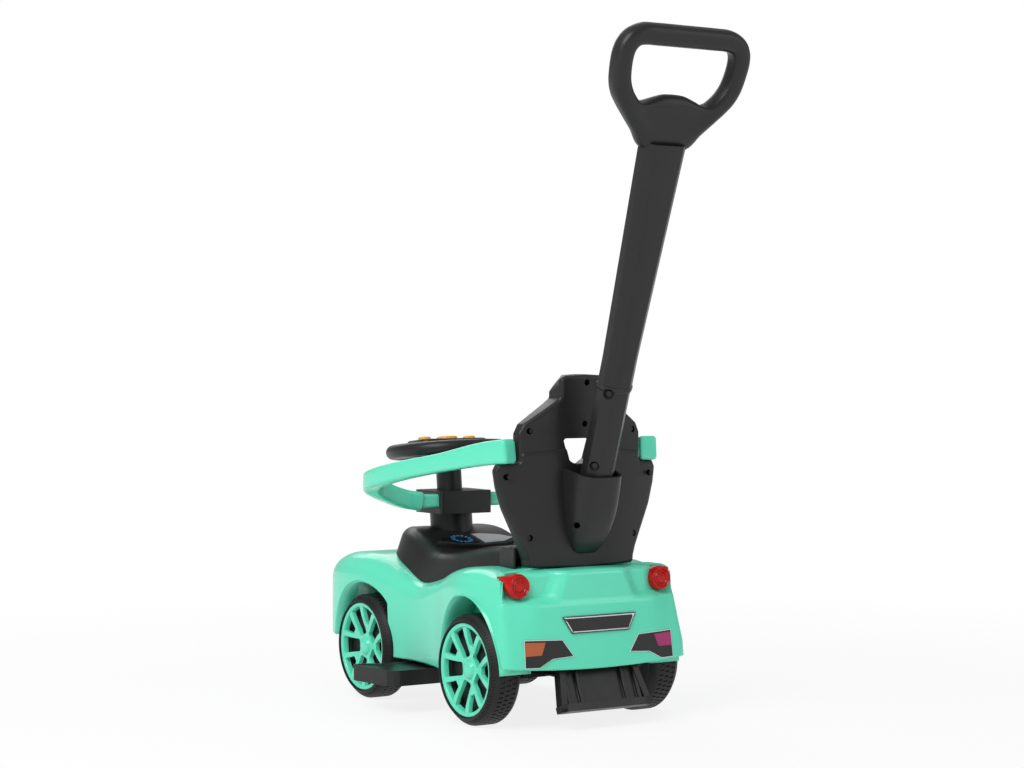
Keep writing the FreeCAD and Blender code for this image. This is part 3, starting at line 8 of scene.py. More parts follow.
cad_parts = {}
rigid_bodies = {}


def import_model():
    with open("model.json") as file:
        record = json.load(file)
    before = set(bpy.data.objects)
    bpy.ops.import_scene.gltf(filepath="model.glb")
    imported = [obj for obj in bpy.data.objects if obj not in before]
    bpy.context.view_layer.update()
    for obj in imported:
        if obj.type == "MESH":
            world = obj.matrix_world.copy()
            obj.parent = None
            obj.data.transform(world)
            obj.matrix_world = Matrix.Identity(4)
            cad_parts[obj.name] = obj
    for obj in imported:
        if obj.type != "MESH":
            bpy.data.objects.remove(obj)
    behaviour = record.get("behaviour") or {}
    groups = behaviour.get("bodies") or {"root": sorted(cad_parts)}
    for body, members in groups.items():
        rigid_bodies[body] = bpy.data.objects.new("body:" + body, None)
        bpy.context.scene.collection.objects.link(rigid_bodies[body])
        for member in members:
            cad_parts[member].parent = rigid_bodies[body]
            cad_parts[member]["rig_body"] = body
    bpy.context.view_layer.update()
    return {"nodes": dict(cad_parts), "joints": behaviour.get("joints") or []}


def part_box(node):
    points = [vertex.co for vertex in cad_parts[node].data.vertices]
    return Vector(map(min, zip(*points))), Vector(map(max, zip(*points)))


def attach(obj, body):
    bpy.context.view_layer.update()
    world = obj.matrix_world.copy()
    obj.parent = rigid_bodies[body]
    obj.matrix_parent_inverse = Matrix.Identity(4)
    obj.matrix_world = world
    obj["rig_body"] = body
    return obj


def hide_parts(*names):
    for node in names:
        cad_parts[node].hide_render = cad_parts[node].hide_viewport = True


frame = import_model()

NODES = frame["nodes"]
JOINTS = {joint["name"]: joint for joint in frame["joints"]}

WELD = 1e-6
FLAT = math.radians(0.4)
SHARP = math.radians(38)
# Least turn at an edge for it to be rounded: by a modifier, in a shape
EDGE_TURN, FACET_TURN = 0.6, 0.9
# A rounded corner takes at most the length of a side over this
SIDE_SPLIT = 2.05


# Numbers along a line

def rise(low, high, value):
    """0 below low, 1 above high, and an S-shaped rise between them."""
    t = min(1, max(0, (value - low) / (high - low)))
    return t * t * (3 - 2 * t)


def along(rows, at):
    """Values of rows of (place, value, ...) at a place, on a smooth line through them."""
    places = [row[0] for row in rows]
    at = min(places[-1], max(places[0], at))
    i = min(len(rows) - 2, sum(place <= at for place in places) - 1)
    width = places[i + 1] - places[i]
    t = (at - places[i]) / width
    values = []
    for k in range(1, len(rows[0])):
        slopes = []
        for j in (i, i + 1):
            a, b = max(0, j - 1), min(len(rows) - 1, j + 1)
            slopes.append((rows[b][k] - rows[a][k]) / (places[b] - places[a]) * width)
        values.append((1 + 2 * t) * (1 - t) ** 2 * rows[i][k] + t * (1 - t) ** 2 * slopes[0]
                      + t * t * (3 - 2 * t) * rows[i + 1][k] + t * t * (t - 1) * slopes[1])
    return values


def evenly(rows):
    """Rows of values with even places from 0 to 1 put before them."""
    return [(i / (len(rows) - 1), *row) for i, row in enumerate(rows)]


def rounded(points, radius, steps=4):
    """A closed outline of 2D points with its corners rounded."""
    loop = []
    count = len(points)
    for i in range(count):
        corner = Vector(points[i])
        before = Vector(points[i - 1]) - corner
        after = Vector(points[(i + 1) % count]) - corner
        half = before.angle(after) / 2
        cut = min(radius / math.tan(half), before.length / SIDE_SPLIT, after.length / SIDE_SPLIT)
        start, end = corner + before.normalized() * cut, corner + after.normalized() * cut
        for k in range(steps + 1):
            t = k / steps
            loop.append(start.lerp(corner, t).lerp(corner.lerp(end, t), t))
    return loop


# Shapes

def surface(cols, rows, place):
    """A grid whose points are put in place by their shares across and up."""
    bm = bmesh.new()
    bmesh.ops.create_grid(bm, x_segments=cols, y_segments=rows, size=1)
    for vert in bm.verts:
        vert.co = place((vert.co.x + 1) / 2, (vert.co.y + 1) / 2)
    return bm


def loft(rings, caps=True):
    """A skin over closed rings with the same number of points."""
    count, last = len(rings[0]), len(rings) - 1
    bm = surface(count, last, lambda u, v: rings[round(v * last)][round(u * count) % count])
    bmesh.ops.remove_doubles(bm, verts=bm.verts, dist=WELD)
    if caps:
        bmesh.ops.holes_fill(bm, edges=[edge for edge in bm.edges if edge.is_boundary], sides=0)
    return bm


def outlined(points, y):
    """A flat face at a place along Y, bounded by (x, z) points."""
    bm = bmesh.new()
    verts = [bm.verts.new((x, y, z)) for x, z in points]
    edges = [bm.edges.new((vert, verts[i - 1])) for i, vert in enumerate(verts)]
    bmesh.ops.contextual_create(bm, geom=edges)
    return bm


def slab(points, front, rear):
    """A flat outline of (x, z) points, extruded along Y from front to rear."""
    bm = outlined(points, front)
    face = bm.faces[:]
    grown = bmesh.ops.extrude_face_region(bm, geom=face, use_keep_orig=True)["geom"]
    moved = [part for part in grown if isinstance(part, bmesh.types.BMVert)]
    bmesh.ops.translate(bm, verts=moved, vec=(0, rear - front, 0))
    bmesh.ops.recalc_face_normals(bm, faces=bm.faces)
    return bm


def both_sides(points):
    """A closed outline from its right half, which runs from the bottom's middle to the top's."""
    left = [(-x, z) for x, z in reversed(points) if x > WELD]
    return list(points) + left


def bevel(bm, width, segments, chosen):
    edges = [edge for edge in bm.edges if len(edge.link_faces) == 2
             and edge.calc_face_angle() > FACET_TURN and chosen(edge)]
    bmesh.ops.bevel(bm, geom=edges, offset=width, segments=segments, profile=0.5, affect="EDGES",
                    clamp_overlap=True, material=-1)


def spun(profile, centre, steps, closed=False):
    """A profile of (x, radius) points turned round a line along X."""
    bm = bmesh.new()
    verts = [bm.verts.new((x, centre.y, centre.z + radius)) for x, radius in profile]
    pairs = list(zip(verts, verts[1:])) + ([(verts[-1], verts[0])] if closed else [])
    edges = [bm.edges.new(pair) for pair in pairs]
    bmesh.ops.spin(bm, geom=verts + edges, cent=(0, centre.y, centre.z), axis=(1, 0, 0),
                   angle=2 * math.pi, steps=steps, use_merge=True)
    bmesh.ops.remove_doubles(bm, verts=bm.verts, dist=WELD)
    bmesh.ops.recalc_face_normals(bm, faces=bm.faces)
    return bm


def divided(bm, axis, low, high, step):
    """The shape cut across an axis at even steps, so that it can bend."""
    for k in range(1, math.ceil((high - low) / step)):
        at, way = Vector(), Vector()
        at[axis], way[axis] = low + k * step, 1
        whole = bm.verts[:] + bm.edges[:] + bm.faces[:]
        bmesh.ops.bisect_plane(bm, geom=whole, dist=WELD, plane_co=at, plane_no=way)


def joined(*shapes):
    """Several shapes as one."""
    whole = bmesh.new()
    for shape in shapes:
        mesh = bpy.data.meshes.new("part")
        shape.to_mesh(mesh)
        shape.free()
        whole.from_mesh(mesh)
        bpy.data.meshes.remove(mesh)
    return whole


def mirrored(bm):
    """A right half with its left half added."""
    bmesh.ops.mirror(bm, geom=bm.verts[:] + bm.edges[:] + bm.faces[:], axis="X", merge_dist=WELD)
    bmesh.ops.remove_doubles(bm, verts=bm.verts, dist=WELD)
    return bm


def as_object(name, bm):
    bmesh.ops.remove_doubles(bm, verts=bm.verts, dist=WELD)
    bmesh.ops.recalc_face_normals(bm, faces=bm.faces)
    mesh = bpy.data.meshes.new(name)
    bm.to_mesh(mesh)
    bm.free()
    obj = bpy.data.objects.new(name, mesh)
    bpy.context.scene.collection.objects.link(obj)
    return obj


def carved(bm, tools):
    """A shape with other shapes cut out of it."""
    blank, cutter = as_object("blank", bm), as_object("cutter", tools)
    cut = blank.modifiers.new("cut", "BOOLEAN")
    cut.object, cut.operation, cut.solver = cutter, "DIFFERENCE", "EXACT"
    graph = bpy.context.evaluated_depsgraph_get()
    mesh = bpy.data.meshes.new_from_object(blank.evaluated_get(graph))
    result = bmesh.new()
    result.from_mesh(mesh)
    for obj in (blank, cutter):
        old = obj.data
        bpy.data.objects.remove(obj)
        bpy.data.meshes.remove(old)
    bpy.data.meshes.remove(mesh)
    return result


def peg(centre, way, radius, length, steps=20, head=None):
    """A round peg about a centre, or a cone where its head has another radius."""
    bm = bmesh.new()
    turn = Vector((0, 0, 1)).rotation_difference(way).to_matrix().to_4x4()
    bmesh.ops.create_cone(bm, cap_ends=True, segments=steps, radius1=radius, radius2=head or radius,
                          depth=length, matrix=Matrix.Translation(centre) @ turn)
    return bm


def piece(name, bm, body, look, *nodes, smooth=SHARP):
    """A finished piece that rides on a body, in place of CAD nodes where any are named."""
    obj = as_object(name, bm)
    mesh = obj.data
    stale = mesh.attributes.get("custom_normal")
    if stale:
        mesh.attributes.remove(stale)
    mesh.materials.clear()
    mesh.materials.append(LOOKS[look])
    mesh.shade_smooth()
    mesh.set_sharp_from_angle(angle=smooth)
    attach(obj, body)
    if nodes:
        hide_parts(*nodes)
    return obj


def thicken(obj, depth):
    wall = obj.modifiers.new("wall", "SOLIDIFY")
    wall.thickness, wall.offset = depth, -1


def soften(obj, width, segments=2, turn=EDGE_TURN):
    edge = obj.modifiers.new("edges", "BEVEL")
    edge.width, edge.segments, edge.limit_method, edge.angle_limit = width, segments, "ANGLE", turn
    edge.harden_normals = False


def softened(node, look, width):
    """The CAD piece with its edges rounded."""
    bm = bmesh.new()
    bm.from_mesh(NODES[node].data)
    bmesh.ops.remove_doubles(bm, verts=bm.verts, dist=WELD)
    bmesh.ops.dissolve_limit(bm, angle_limit=FLAT, verts=bm.verts, edges=bm.edges)
    soften(piece(node + "_skin", bm, NODES[node]["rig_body"], look, node), width)


# Materials

def shader_group(name, inputs, outputs):
    tree = bpy.data.node_groups.new(name, "ShaderNodeTree")
    for title, kind, value in inputs:
        socket = tree.interface.new_socket(name=title, in_out="INPUT", socket_type=kind)
        socket.default_value = value
    for title, kind in outputs:
        tree.interface.new_socket(name=title, in_out="OUTPUT", socket_type=kind)
    return tree, tree.nodes.new("NodeGroupInput"), tree.nodes.new("NodeGroupOutput")


def feed(tree, socket, value):
    """Gives a socket a value, or a link where the value is another socket."""
    if isinstance(value, bpy.types.NodeSocket):
        tree.links.new(value, socket)
    else:
        socket.default_value = value


def noise(tree, scale, detail):
    coords = tree.nodes.new("ShaderNodeTexCoord")
    node = tree.nodes.new("ShaderNodeTexNoise")
    feed(tree, node.inputs["Scale"], scale)
    feed(tree, node.inputs["Detail"], detail)
    feed(tree, node.inputs["Vector"], coords.outputs["Object"])
    return node.outputs["Fac"]


def arithmetic(tree, operation, *values):
    node = tree.nodes.new("ShaderNodeMath")
    node.operation = operation
    for socket, value in zip(node.inputs, values):
        feed(tree, socket, value)
    return node.outputs[0]


def mixed(tree, share, first, second):
    node = tree.nodes.new("ShaderNodeMix")
    node.data_type = "RGBA"
    for key, value in (("Factor_Float", share), ("A_Color", first), ("B_Color", second)):
        feed(tree, next(s for s in node.inputs if s.identifier == key), value)
    return next(s for s in node.outputs if s.identifier == "Result_Color")


# Noise of the colour's patches, the shine and the grain: scale, detail
PATCH_NOISE, SHINE_NOISE, GRAIN_DETAIL, NOISE_MIDDLE = (7.0, 3.0), (42.0, 4.0), 2.0, 0.5
GRAIN_DEPTH, COAT_ROUGHNESS = 0.0005, 0.08


def moulded_surface():
    """Colour, roughness and fine grain of moulded plastic."""
    tree, given, result = shader_group(
        "moulded_surface",
        [("Light", "NodeSocketColor", (1, 1, 1, 1)), ("Deep", "NodeSocketColor", (0, 0, 0, 1)),
         ("Roughness", "NodeSocketFloat", 0.4), ("Spread", "NodeSocketFloat", 0.1),
         ("Grain", "NodeSocketFloat", 900.0)],
        [("Color", "NodeSocketColor"), ("Roughness", "NodeSocketFloat"), ("Height", "NodeSocketFloat")])
    colour = mixed(tree, noise(tree, *PATCH_NOISE), given.outputs["Light"], given.outputs["Deep"])
    tree.links.new(colour, result.inputs["Color"])
    shine = arithmetic(tree, "SUBTRACT", noise(tree, *SHINE_NOISE), NOISE_MIDDLE)
    shine = arithmetic(tree, "MULTIPLY_ADD", shine, given.outputs["Spread"], given.outputs["Roughness"])
    tree.links.new(shine, result.inputs["Roughness"])
    tree.links.new(noise(tree, given.outputs["Grain"], GRAIN_DETAIL), result.inputs["Height"])
    return tree


SURFACE = moulded_surface()


def plastic(name, light, deep, roughness, spread=0.1, grain=900.0, bump=0.05, coat=0.0, metallic=0.0,
            specular=0.5):
    """A material whose colour, roughness and bump come from the moulded surface."""
    look = bpy.data.materials.new(name)
    look.use_nodes = True
    tree = look.node_tree
    shader = tree.nodes["Principled BSDF"]
    skin = tree.nodes.new("ShaderNodeGroup")
    skin.node_tree = SURFACE
    relief = tree.nodes.new("ShaderNodeBump")
    for node, title, value in (
            (skin, "Light", (*light, 1)), (skin, "Deep", (*deep, 1)), (skin, "Roughness", roughness),
            (skin, "Spread", spread), (skin, "Grain", grain), (relief, "Strength", bump),
            (relief, "Distance", GRAIN_DEPTH), (relief, "Height", skin.outputs["Height"]),
            (shader, "Base Color", skin.outputs["Color"]), (shader, "Roughness", skin.outputs["Roughness"]),
            (shader, "Normal", relief.outputs["Normal"]), (shader, "Metallic", metallic),
            (shader, "Specular IOR Level", specular), (shader, "Coat Weight", coat),
            (shader, "Coat Roughness", COAT_ROUGHNESS)):
        feed(tree, node.inputs[title], value)
    return look


# Dial, in shares of the panel's half width: middle, radius and half width of the arc, start of the pale field
DIAL_LEFT, DIAL_RADIUS, DIAL_WIDTH, DIAL_FIELD = 0.36, 0.20, 0.05, 0.05
DIAL_TICKS, DIAL_TICK_LEVEL = 14.0, -0.2
DIAL_DARK, DIAL_PALE, DIAL_BLUE = (0.012, 0.013, 0.016, 1.0), (0.32, 0.34, 0.36, 1.0), (0.05, 0.30, 0.62, 1.0)


def dial_print(low, high):
    """A generic dial: an arc of ticks on the left and a plain pale field on the right."""
    tree, _, result = shader_group("dial_print", [], [("Color", "NodeSocketColor")])
    coords = tree.nodes.new("ShaderNodeTexCoord")
    split = tree.nodes.new("ShaderNodeSeparateXYZ")
    tree.links.new(coords.outputs["Object"], split.inputs[0])
    middle = (low + high) / 2
    half = (high.x - low.x) / 2
    across = arithmetic(tree, "SUBTRACT", split.outputs["X"], middle.x - DIAL_LEFT * half)
    ahead = arithmetic(tree, "SUBTRACT", split.outputs["Y"], middle.y)
    out = arithmetic(tree, "SQRT", arithmetic(tree, "ADD", arithmetic(tree, "MULTIPLY", across, across),
                                              arithmetic(tree, "MULTIPLY", ahead, ahead)))
    ring = arithmetic(tree, "COMPARE", out, DIAL_RADIUS * half, DIAL_WIDTH * half)
    turn = arithmetic(tree, "MULTIPLY", arithmetic(tree, "ARCTAN2", ahead, across), DIAL_TICKS)
    ticks = arithmetic(tree, "GREATER_THAN", arithmetic(tree, "SINE", turn), DIAL_TICK_LEVEL)
    arc = arithmetic(tree, "MULTIPLY", ring, ticks)
    right = arithmetic(tree, "GREATER_THAN", split.outputs["X"], middle.x + DIAL_FIELD * half)
    ground = mixed(tree, right, DIAL_DARK, DIAL_PALE)
    tree.links.new(mixed(tree, arc, ground, DIAL_BLUE), result.inputs["Color"])
    return tree


LOOKS = {
    "mint": plastic("mint_plastic", (0.135, 0.82, 0.565), (0.120, 0.78, 0.525), 0.24, 0.08, 1200.0, 0.02,
                    0.15),
    "black": plastic("black_plastic", (0.0178, 0.0178, 0.0184), (0.0152, 0.0152, 0.0158), 0.38, 0.14, 1500.0,
                     0.10, specular=0.35),
    "tyre": plastic("tyre_plastic", (0.014, 0.014, 0.0145), (0.010, 0.010, 0.0105), 0.55, 0.16, 700.0, 0.16,
                    specular=0.35),
    "red": plastic("red_lens", (0.52, 0.009, 0.006), (0.46, 0.007, 0.005), 0.16, 0.05, 800.0, 0.02, 0.0,
                   specular=0.3),
    "clear": plastic("clear_lens", (0.82, 0.84, 0.86), (0.72, 0.75, 0.78), 0.08, 0.04, 800.0, 0.01, 0.6),
    "yellow": plastic("yellow_plastic", (0.92, 0.46, 0.012), (0.86, 0.40, 0.008), 0.3, 0.1, 900.0, 0.05),
    "steel": plastic("steel", (0.55, 0.55, 0.56), (0.42, 0.42, 0.44), 0.34, 0.2, 500.0, 0.08, 0.0, 1.0),
    "dark_steel": plastic("dark_steel", (0.05, 0.05, 0.052), (0.035, 0.035, 0.036), 0.38, 0.2, 500.0, 0.08,
                          0.0, 1.0),
    "ink_black": plastic("ink_black", (0.016, 0.016, 0.017), (0.012, 0.012, 0.013), 0.38, 0.1),
    "ink_white": plastic("ink_white", (0.80, 0.82, 0.82), (0.72, 0.75, 0.75), 0.38, 0.1),
    "ink_magenta": plastic("ink_magenta", (0.42, 0.03, 0.17), (0.36, 0.02, 0.13), 0.36, 0.1),
    "ink_orange": plastic("ink_orange", (0.52, 0.13, 0.04), (0.44, 0.10, 0.035), 0.36, 0.1),
    "gauge": plastic("gauge_panel", (0.02, 0.02, 0.02), (0.02, 0.02, 0.02), 0.14, 0.05, 900.0, 0.01, 0.5),
}
dial = LOOKS["gauge"].node_tree
print_node = dial.nodes.new("ShaderNodeGroup")
print_node.node_tree = dial_print(*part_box("instrument_panel"))
dial.links.new(print_node.outputs["Color"], dial.nodes["Principled BSDF"].inputs["Base Color"])


# Lower body

BODY_TAIL, BODY_NOSE, BODY_HALF, BODY_TOP = -0.173, 0.361, 0.148, 0.204
BODY_SKIN = 0.0007
SHOULDER = 0.028
# Along the body, in shares: place, half width, low edge, top, shoulder
BODY_SHARES = [
    (0.000, 0.940, 0.395, 0.990, 0.80), (0.067, 0.990, 0.385, 1.000, 1.00),
    (0.142, 1.000, 0.373, 1.000, 1.05), (0.236, 0.986, 0.345, 0.995, 1.05),
    (0.311, 0.935, 0.316, 0.961, 1.00), (0.404, 0.862, 0.314, 0.887, 0.90),
    (0.524, 0.826, 0.314, 0.834, 0.85), (0.629, 0.878, 0.316, 0.912, 0.95),
    (0.723, 0.936, 0.335, 0.980, 1.10), (0.788, 0.946, 0.363, 0.990, 1.15),
    (0.863, 0.926, 0.392, 0.972, 1.15), (0.933, 0.851, 0.415, 0.912, 1.10),
    (0.976, 0.716, 0.450, 0.828, 0.90), (1.000, 0.480, 0.515, 0.735, 0.60)]
BODY_ROWS = [(BODY_TAIL + at * (BODY_NOSE - BODY_TAIL), half * BODY_HALF + BODY_SKIN, low * BODY_TOP,
              high * BODY_TOP, turn * SHOULDER) for at, half, low, high, turn in BODY_SHARES]
# Rear outline: x, y, then round the corner: y, x
REAR_ROWS = [(0.0, -0.1615), (0.05, -0.1606), (0.09, -0.1586), (0.115, -0.1562), (0.130, -0.1535)]
CORNER_ROWS = [(-0.1535, 0.130), (-0.1508, 0.1372), (-0.1465, 0.1422), (-0.139, 0.1457), (-0.125, 0.1478),
               (-0.110, 0.1486), (-0.097, 0.1487), (-0.07, 0.1486)]
CORNER_END = -0.097
REAR_LOW, REAR_LIFT, REAR_EDGE, REAR_CROWN = 0.0765, 0.006, 0.008, 0.006
SHELF_Z, SHELF_SLANT, SHELF_STEP = 0.162, 0.0105, 0.002
SCOOP_DEPTH, SCOOP_HALF_LOW, SCOOP_HALF_HIGH = 0.014, 0.064, 0.046
# Soft edges, from before to past the line: scoop's inner side, scoop's floor, shelf
SCOOP_SIDE, SCOOP_FLOOR, SHELF_EDGE = (0.008, 0.016), (0.001, 0.010), (0.002, 0.003)
# Stretches over which a form fades: scoop across, crown, rear share (its end) and edge along, then the lean
SCOOP_OUT, CROWN_END, REAR_END, EDGE_END = (0.120, 0.142), (-0.13, -0.05), -0.122, (-0.150, -0.100)
LEAN_ACROSS, LEAN_ALONG = (0.085, 0.128), (-0.135, -0.040)
TURN_MOST = 0.8
DECK_Y, HOOD_Y = -0.112, 0.300
NOSE_BULGE = 0.004
REAR_LEAN, CORNER_LEAN, LEAN_FROM = 0.002, 0.0155, 0.100
AXLE_Z = 0.0725
# Wheel arches: middle along the body, half length, rise, inner wall
ARCHES = [(-0.066, 0.080, 0.097, 0.096), (0.220, 0.084, 0.092, 0.062)]
ARCH_STEPS, REAR_STEPS, SILL_STEPS, TIP_STEPS, NOSE_STEPS = 44, 44, 28, 22, 20
CORNER_STEPS, CORNER_STEP, CORNER_X = 6, 0.0012, 0.1
SIDE_ROWS, TURN_ROWS, DECK_ROWS = 40, 8, 10
BODY_WALL, ARCH_WALL, LINER_INSET, LINER_STEPS, LINER_ROWS, WALL_ROWS = 0.0026, 0.0015, 0.001, 60, 3, 4


def rear_line(x):
    return along(REAR_ROWS, abs(x))[0]


def side_half(y):
    return along(CORNER_ROWS if y < CORNER_END else BODY_ROWS, y)[0]


def rear_shift(x, z):
    """How far the rear face lies ahead of its outline at the shelf: bumper, shelf and scoops."""
    x = abs(x)
    slant = min(1, max(0, (SHELF_Z - z) / (SHELF_Z - REAR_LOW)))
    height = min(1, max(0, (z - SHELF_Z) / (BODY_TOP - SHELF_Z)))
    edge = SCOOP_HALF_LOW + (SCOOP_HALF_HIGH - SCOOP_HALF_LOW) * height
    inside = rise(edge - SCOOP_SIDE[0], edge + SCOOP_SIDE[1], x) * (1 - rise(*SCOOP_OUT, x))
    scoop = SCOOP_DEPTH * inside * rise(SHELF_Z - SCOOP_FLOOR[0], SHELF_Z + SCOOP_FLOOR[1], z)
    shelf = SHELF_STEP * rise(SHELF_Z - SHELF_EDGE[0], SHELF_Z + SHELF_EDGE[1], z)
    return scoop + shelf - SHELF_SLANT * slant


def rear_surface(x, z):
    return rear_line(x) + rear_shift(x, z)


def body_top(x, y):
    return along(BODY_ROWS, y)[2] - REAR_CROWN * (1 - rise(*CROWN_END, y)) * (x / BODY_HALF) ** 2


def arch_edge(y):
    """Height of the arch's edge, or none away from an arch."""
    for middle, half, lift, _ in ARCHES:
        if abs(y - middle) <= half:
            return AXLE_Z + lift * math.sqrt(max(0, 1 - ((y - middle) / half) ** 2))
    return 0.0


def body_columns():
    """Stations round the body's right half: place, inward way, low edge, shoulder, rear share."""
    across = [k / REAR_STEPS * REAR_ROWS[-1][0] for k in range(REAR_STEPS)]
    outline = [(x, rear_line(x)) for x in across]
    sides = [CORNER_ROWS[0][0] + k * CORNER_STEP for k in range(CORNER_STEPS)]
    for middle, half, _, _ in ARCHES:
        sides += [middle - half * math.cos(math.pi * k / ARCH_STEPS) for k in range(ARCH_STEPS + 1)]
    gap = (ARCHES[0][0] + ARCHES[0][1], ARCHES[1][0] - ARCHES[1][1])
    sides += [gap[0] + (gap[1] - gap[0]) * k / SILL_STEPS for k in range(1, SILL_STEPS)]
    ahead = ARCHES[1][0] + ARCHES[1][1]
    sides += [ahead + (BODY_NOSE - ahead) * math.sin(math.pi / 2 * k / TIP_STEPS)
              for k in range(1, TIP_STEPS + 1)]
    outline += [(side_half(y), y) for y in sorted(sides)]
    end = outline[-1][0]
    for k in range(1, NOSE_STEPS + 1):
        x = end * (1 - k / NOSE_STEPS)
        outline.append((x, BODY_NOSE + NOSE_BULGE * (1 - (x / end) ** 2)))
    columns = []
    for i, (x, y) in enumerate(outline):
        a = Vector(outline[i - 1]) if i else Vector((-outline[1][0], outline[1][1]))
        b = Vector(outline[i + 1]) if i + 1 < len(outline) else Vector((-outline[-2][0], outline[-2][1]))
        way = (b - a).normalized()
        rear = 1 - rise(CORNER_ROWS[0][0], REAR_END, y) if x > CORNER_X else float(y < 0)
        _, low, _, turn = along(BODY_ROWS, y)
        if y < CORNER_END:
            low = REAR_LOW + REAR_LIFT * (x / BODY_HALF) ** 2
        if x > REAR_ROWS[-1][0] - WELD:
            low = max(low, arch_edge(y))
        turn = turn + (REAR_EDGE - turn) * (1 - rise(*EDGE_END, y))
        columns.append((x, y, -way.y, way.x, low, turn, rear))
    return columns


COLUMNS = body_columns()


def body_lean(x, y, z):
    """How far the rear end is drawn in at a height."""
    amount = REAR_LEAN + (CORNER_LEAN - REAR_LEAN) * rise(*LEAN_ACROSS, x)
    return amount * max(0, (z - LEAN_FROM) / (BODY_TOP - LEAN_FROM)) * (1 - rise(*LEAN_ALONG, y))


def body_point(u, v):
    x, y, in_x, in_y, low, turn, rear = COLUMNS[round(u * (len(COLUMNS) - 1))]
    row = round(v * (SIDE_ROWS + TURN_ROWS + DECK_ROWS))
    high = body_top(x + in_x * turn, y + in_y * turn)
    turn = min(turn, (high - low) * TURN_MOST)
    if row <= SIDE_ROWS:
        z = low + (high - turn - low) * row / SIDE_ROWS
        lean = body_lean(x, y, z)
        return Vector((x + in_x * lean, y + in_y * lean + rear * rear_shift(x, z), z))
    lean = body_lean(x, y, high - turn)
    x, y = x + in_x * lean, y + in_y * lean
    shift = rear * rear_shift(x, high - turn)
    if row <= SIDE_ROWS + TURN_ROWS:
        angle = math.pi / 2 * (row - SIDE_ROWS) / TURN_ROWS
        inset = turn * (1 - math.cos(angle))
        return Vector((x + in_x * inset, y + shift + in_y * inset, high - turn + turn * math.sin(angle)))
    t = (row - SIDE_ROWS - TURN_ROWS) / DECK_ROWS
    start = Vector((x + in_x * turn, y + shift + in_y * turn))
    end = Vector((0, min(HOOD_Y, max(DECK_Y, y))))
    at = start.lerp(end, t)
    return Vector((at.x, at.y, body_top(at.x, at.y)))


body = surface(len(COLUMNS) - 1, SIDE_ROWS + TURN_ROWS + DECK_ROWS, body_point)
bmesh.ops.remove_doubles(body, verts=body.verts, dist=WELD)
thicken(piece("body_skin", mirrored(body), "chassis", "mint", "body_shell"), BODY_WALL)

# Inner walls of the arches: the rear ones are mint. The front ones are black, partly for the black mechanism
# in the front arch and partly as painted shade of the arch's dark inside.
for label, (middle, half, lift, inner), wall_colour_and_shade in zip(("rear", "front"), ARCHES, ("mint", "black")):
    def liner_point(u, v):
        angle = math.pi * u
        y = middle - half * math.cos(angle)
        z = max(AXLE_Z + lift * math.sin(angle), along(BODY_ROWS, y)[1] if y > middle else 0)
        outer = (side_half(y) if y > CORNER_ROWS[0][0] else CORNER_ROWS[0][1]) - LINER_INSET
        return Vector((outer + (inner - outer) * v, y, z))

    def wall_point(u, v):
        rim = liner_point(u, 1)
        return rim.lerp(Vector((inner, middle, AXLE_Z)), v)

    for name, rows, point, look in (("_arch_liners", LINER_ROWS, liner_point, "mint"),
                                    ("_arch_walls", WALL_ROWS, wall_point, wall_colour_and_shade)):
        thicken(piece(label + name, mirrored(surface(LINER_STEPS, rows, point)), "chassis", look), ARCH_WALL)


# Prints on the rear face

PRINT_GRID, PRINT_THICK, MITRE_LEAST = 0.006, 0.0004, 0.3


def patch(name, points, lift, look):
    """A thin print that follows the rear face."""
    bm = outlined(points, 0)
    xs, zs = [p[0] for p in points], [p[1] for p in points]
    divided(bm, 0, min(xs), max(xs), PRINT_GRID)
    divided(bm, 2, min(zs), max(zs), PRINT_GRID)
    for vert in bm.verts:
        vert.co.y = rear_surface(vert.co.x, vert.co.z) - lift
    bmesh.ops.solidify(bm, geom=bm.faces[:], thickness=PRINT_THICK)
    piece(name, bm, "chassis", look)


def shrunk(points, by):
    """An outline drawn in by a width on every side."""
    middle = sum((Vector(p) for p in points), Vector((0, 0))) / len(points)
    count, inner = len(points), []
    for i in range(count):
        at = Vector(points[i])
        a, b = (at - Vector(points[i - 1])).normalized(), (Vector(points[(i + 1) % count]) - at).normalized()
        sign = 1 if a.cross(middle - at) > 0 else -1
        way = (Vector((-a.y, a.x)) + Vector((-b.y, b.x))) * sign
        inner.append(at + way.normalized() * by / max(MITRE_LEAST, math.cos(a.angle(b) / 2)))
    return inner


PLATE, PLATE_CORNER = [(-0.0580, 0.1445), (0.0580, 0.1445), (0.0450, 0.1225), (-0.0450, 0.1225)], 0.0012
# Layers of the plate: inset from its outline, lift off the rear face
PLATE_LAYERS = [("plate_field", 0.0, 0.0008, "ink_black"), ("plate_line", 0.0014, 0.0011, "ink_white"),
                ("plate_face", 0.0028, 0.0014, "ink_black")]
for name, inset, lift, look in PLATE_LAYERS:
    patch(name, shrunk(rounded(PLATE, PLATE_CORNER), inset), lift, look)

DECAL_LINE, DECAL_LIFTS = 0.0008, (0.0006, 0.0009, 0.0012)
DECAL = [(0.1155, 0.1180), (0.0600, 0.1160), (0.0440, 0.0940), (0.0760, 0.0920), (0.0960, 0.0820),
         (0.1165, 0.0825)]
ACCENT = [(0.1145, 0.1150), (0.0855, 0.1138), (0.0920, 0.0980), (0.1150, 0.0975)]
for label, side, tint in (("left", -1, "ink_orange"), ("right", 1, "ink_magenta")):
    field = [(side * x, z) for x, z in DECAL]
    accent = [(side * x, z) for x, z in ACCENT]
    layers = (("line", field, "ink_white"), ("field", shrunk(field, DECAL_LINE), "ink_black"),
              ("accent", accent, tint))
    for lift, (name, points, look) in zip(DECAL_LIFTS, layers):
        patch(f"{label}_decal_{name}", points, lift, look)


# Tail lights

LAMP_X, LAMP_Z, LAMP_RADIUS, LAMP_PROUD = 0.1115, 0.1845, 0.0152, 0.0070
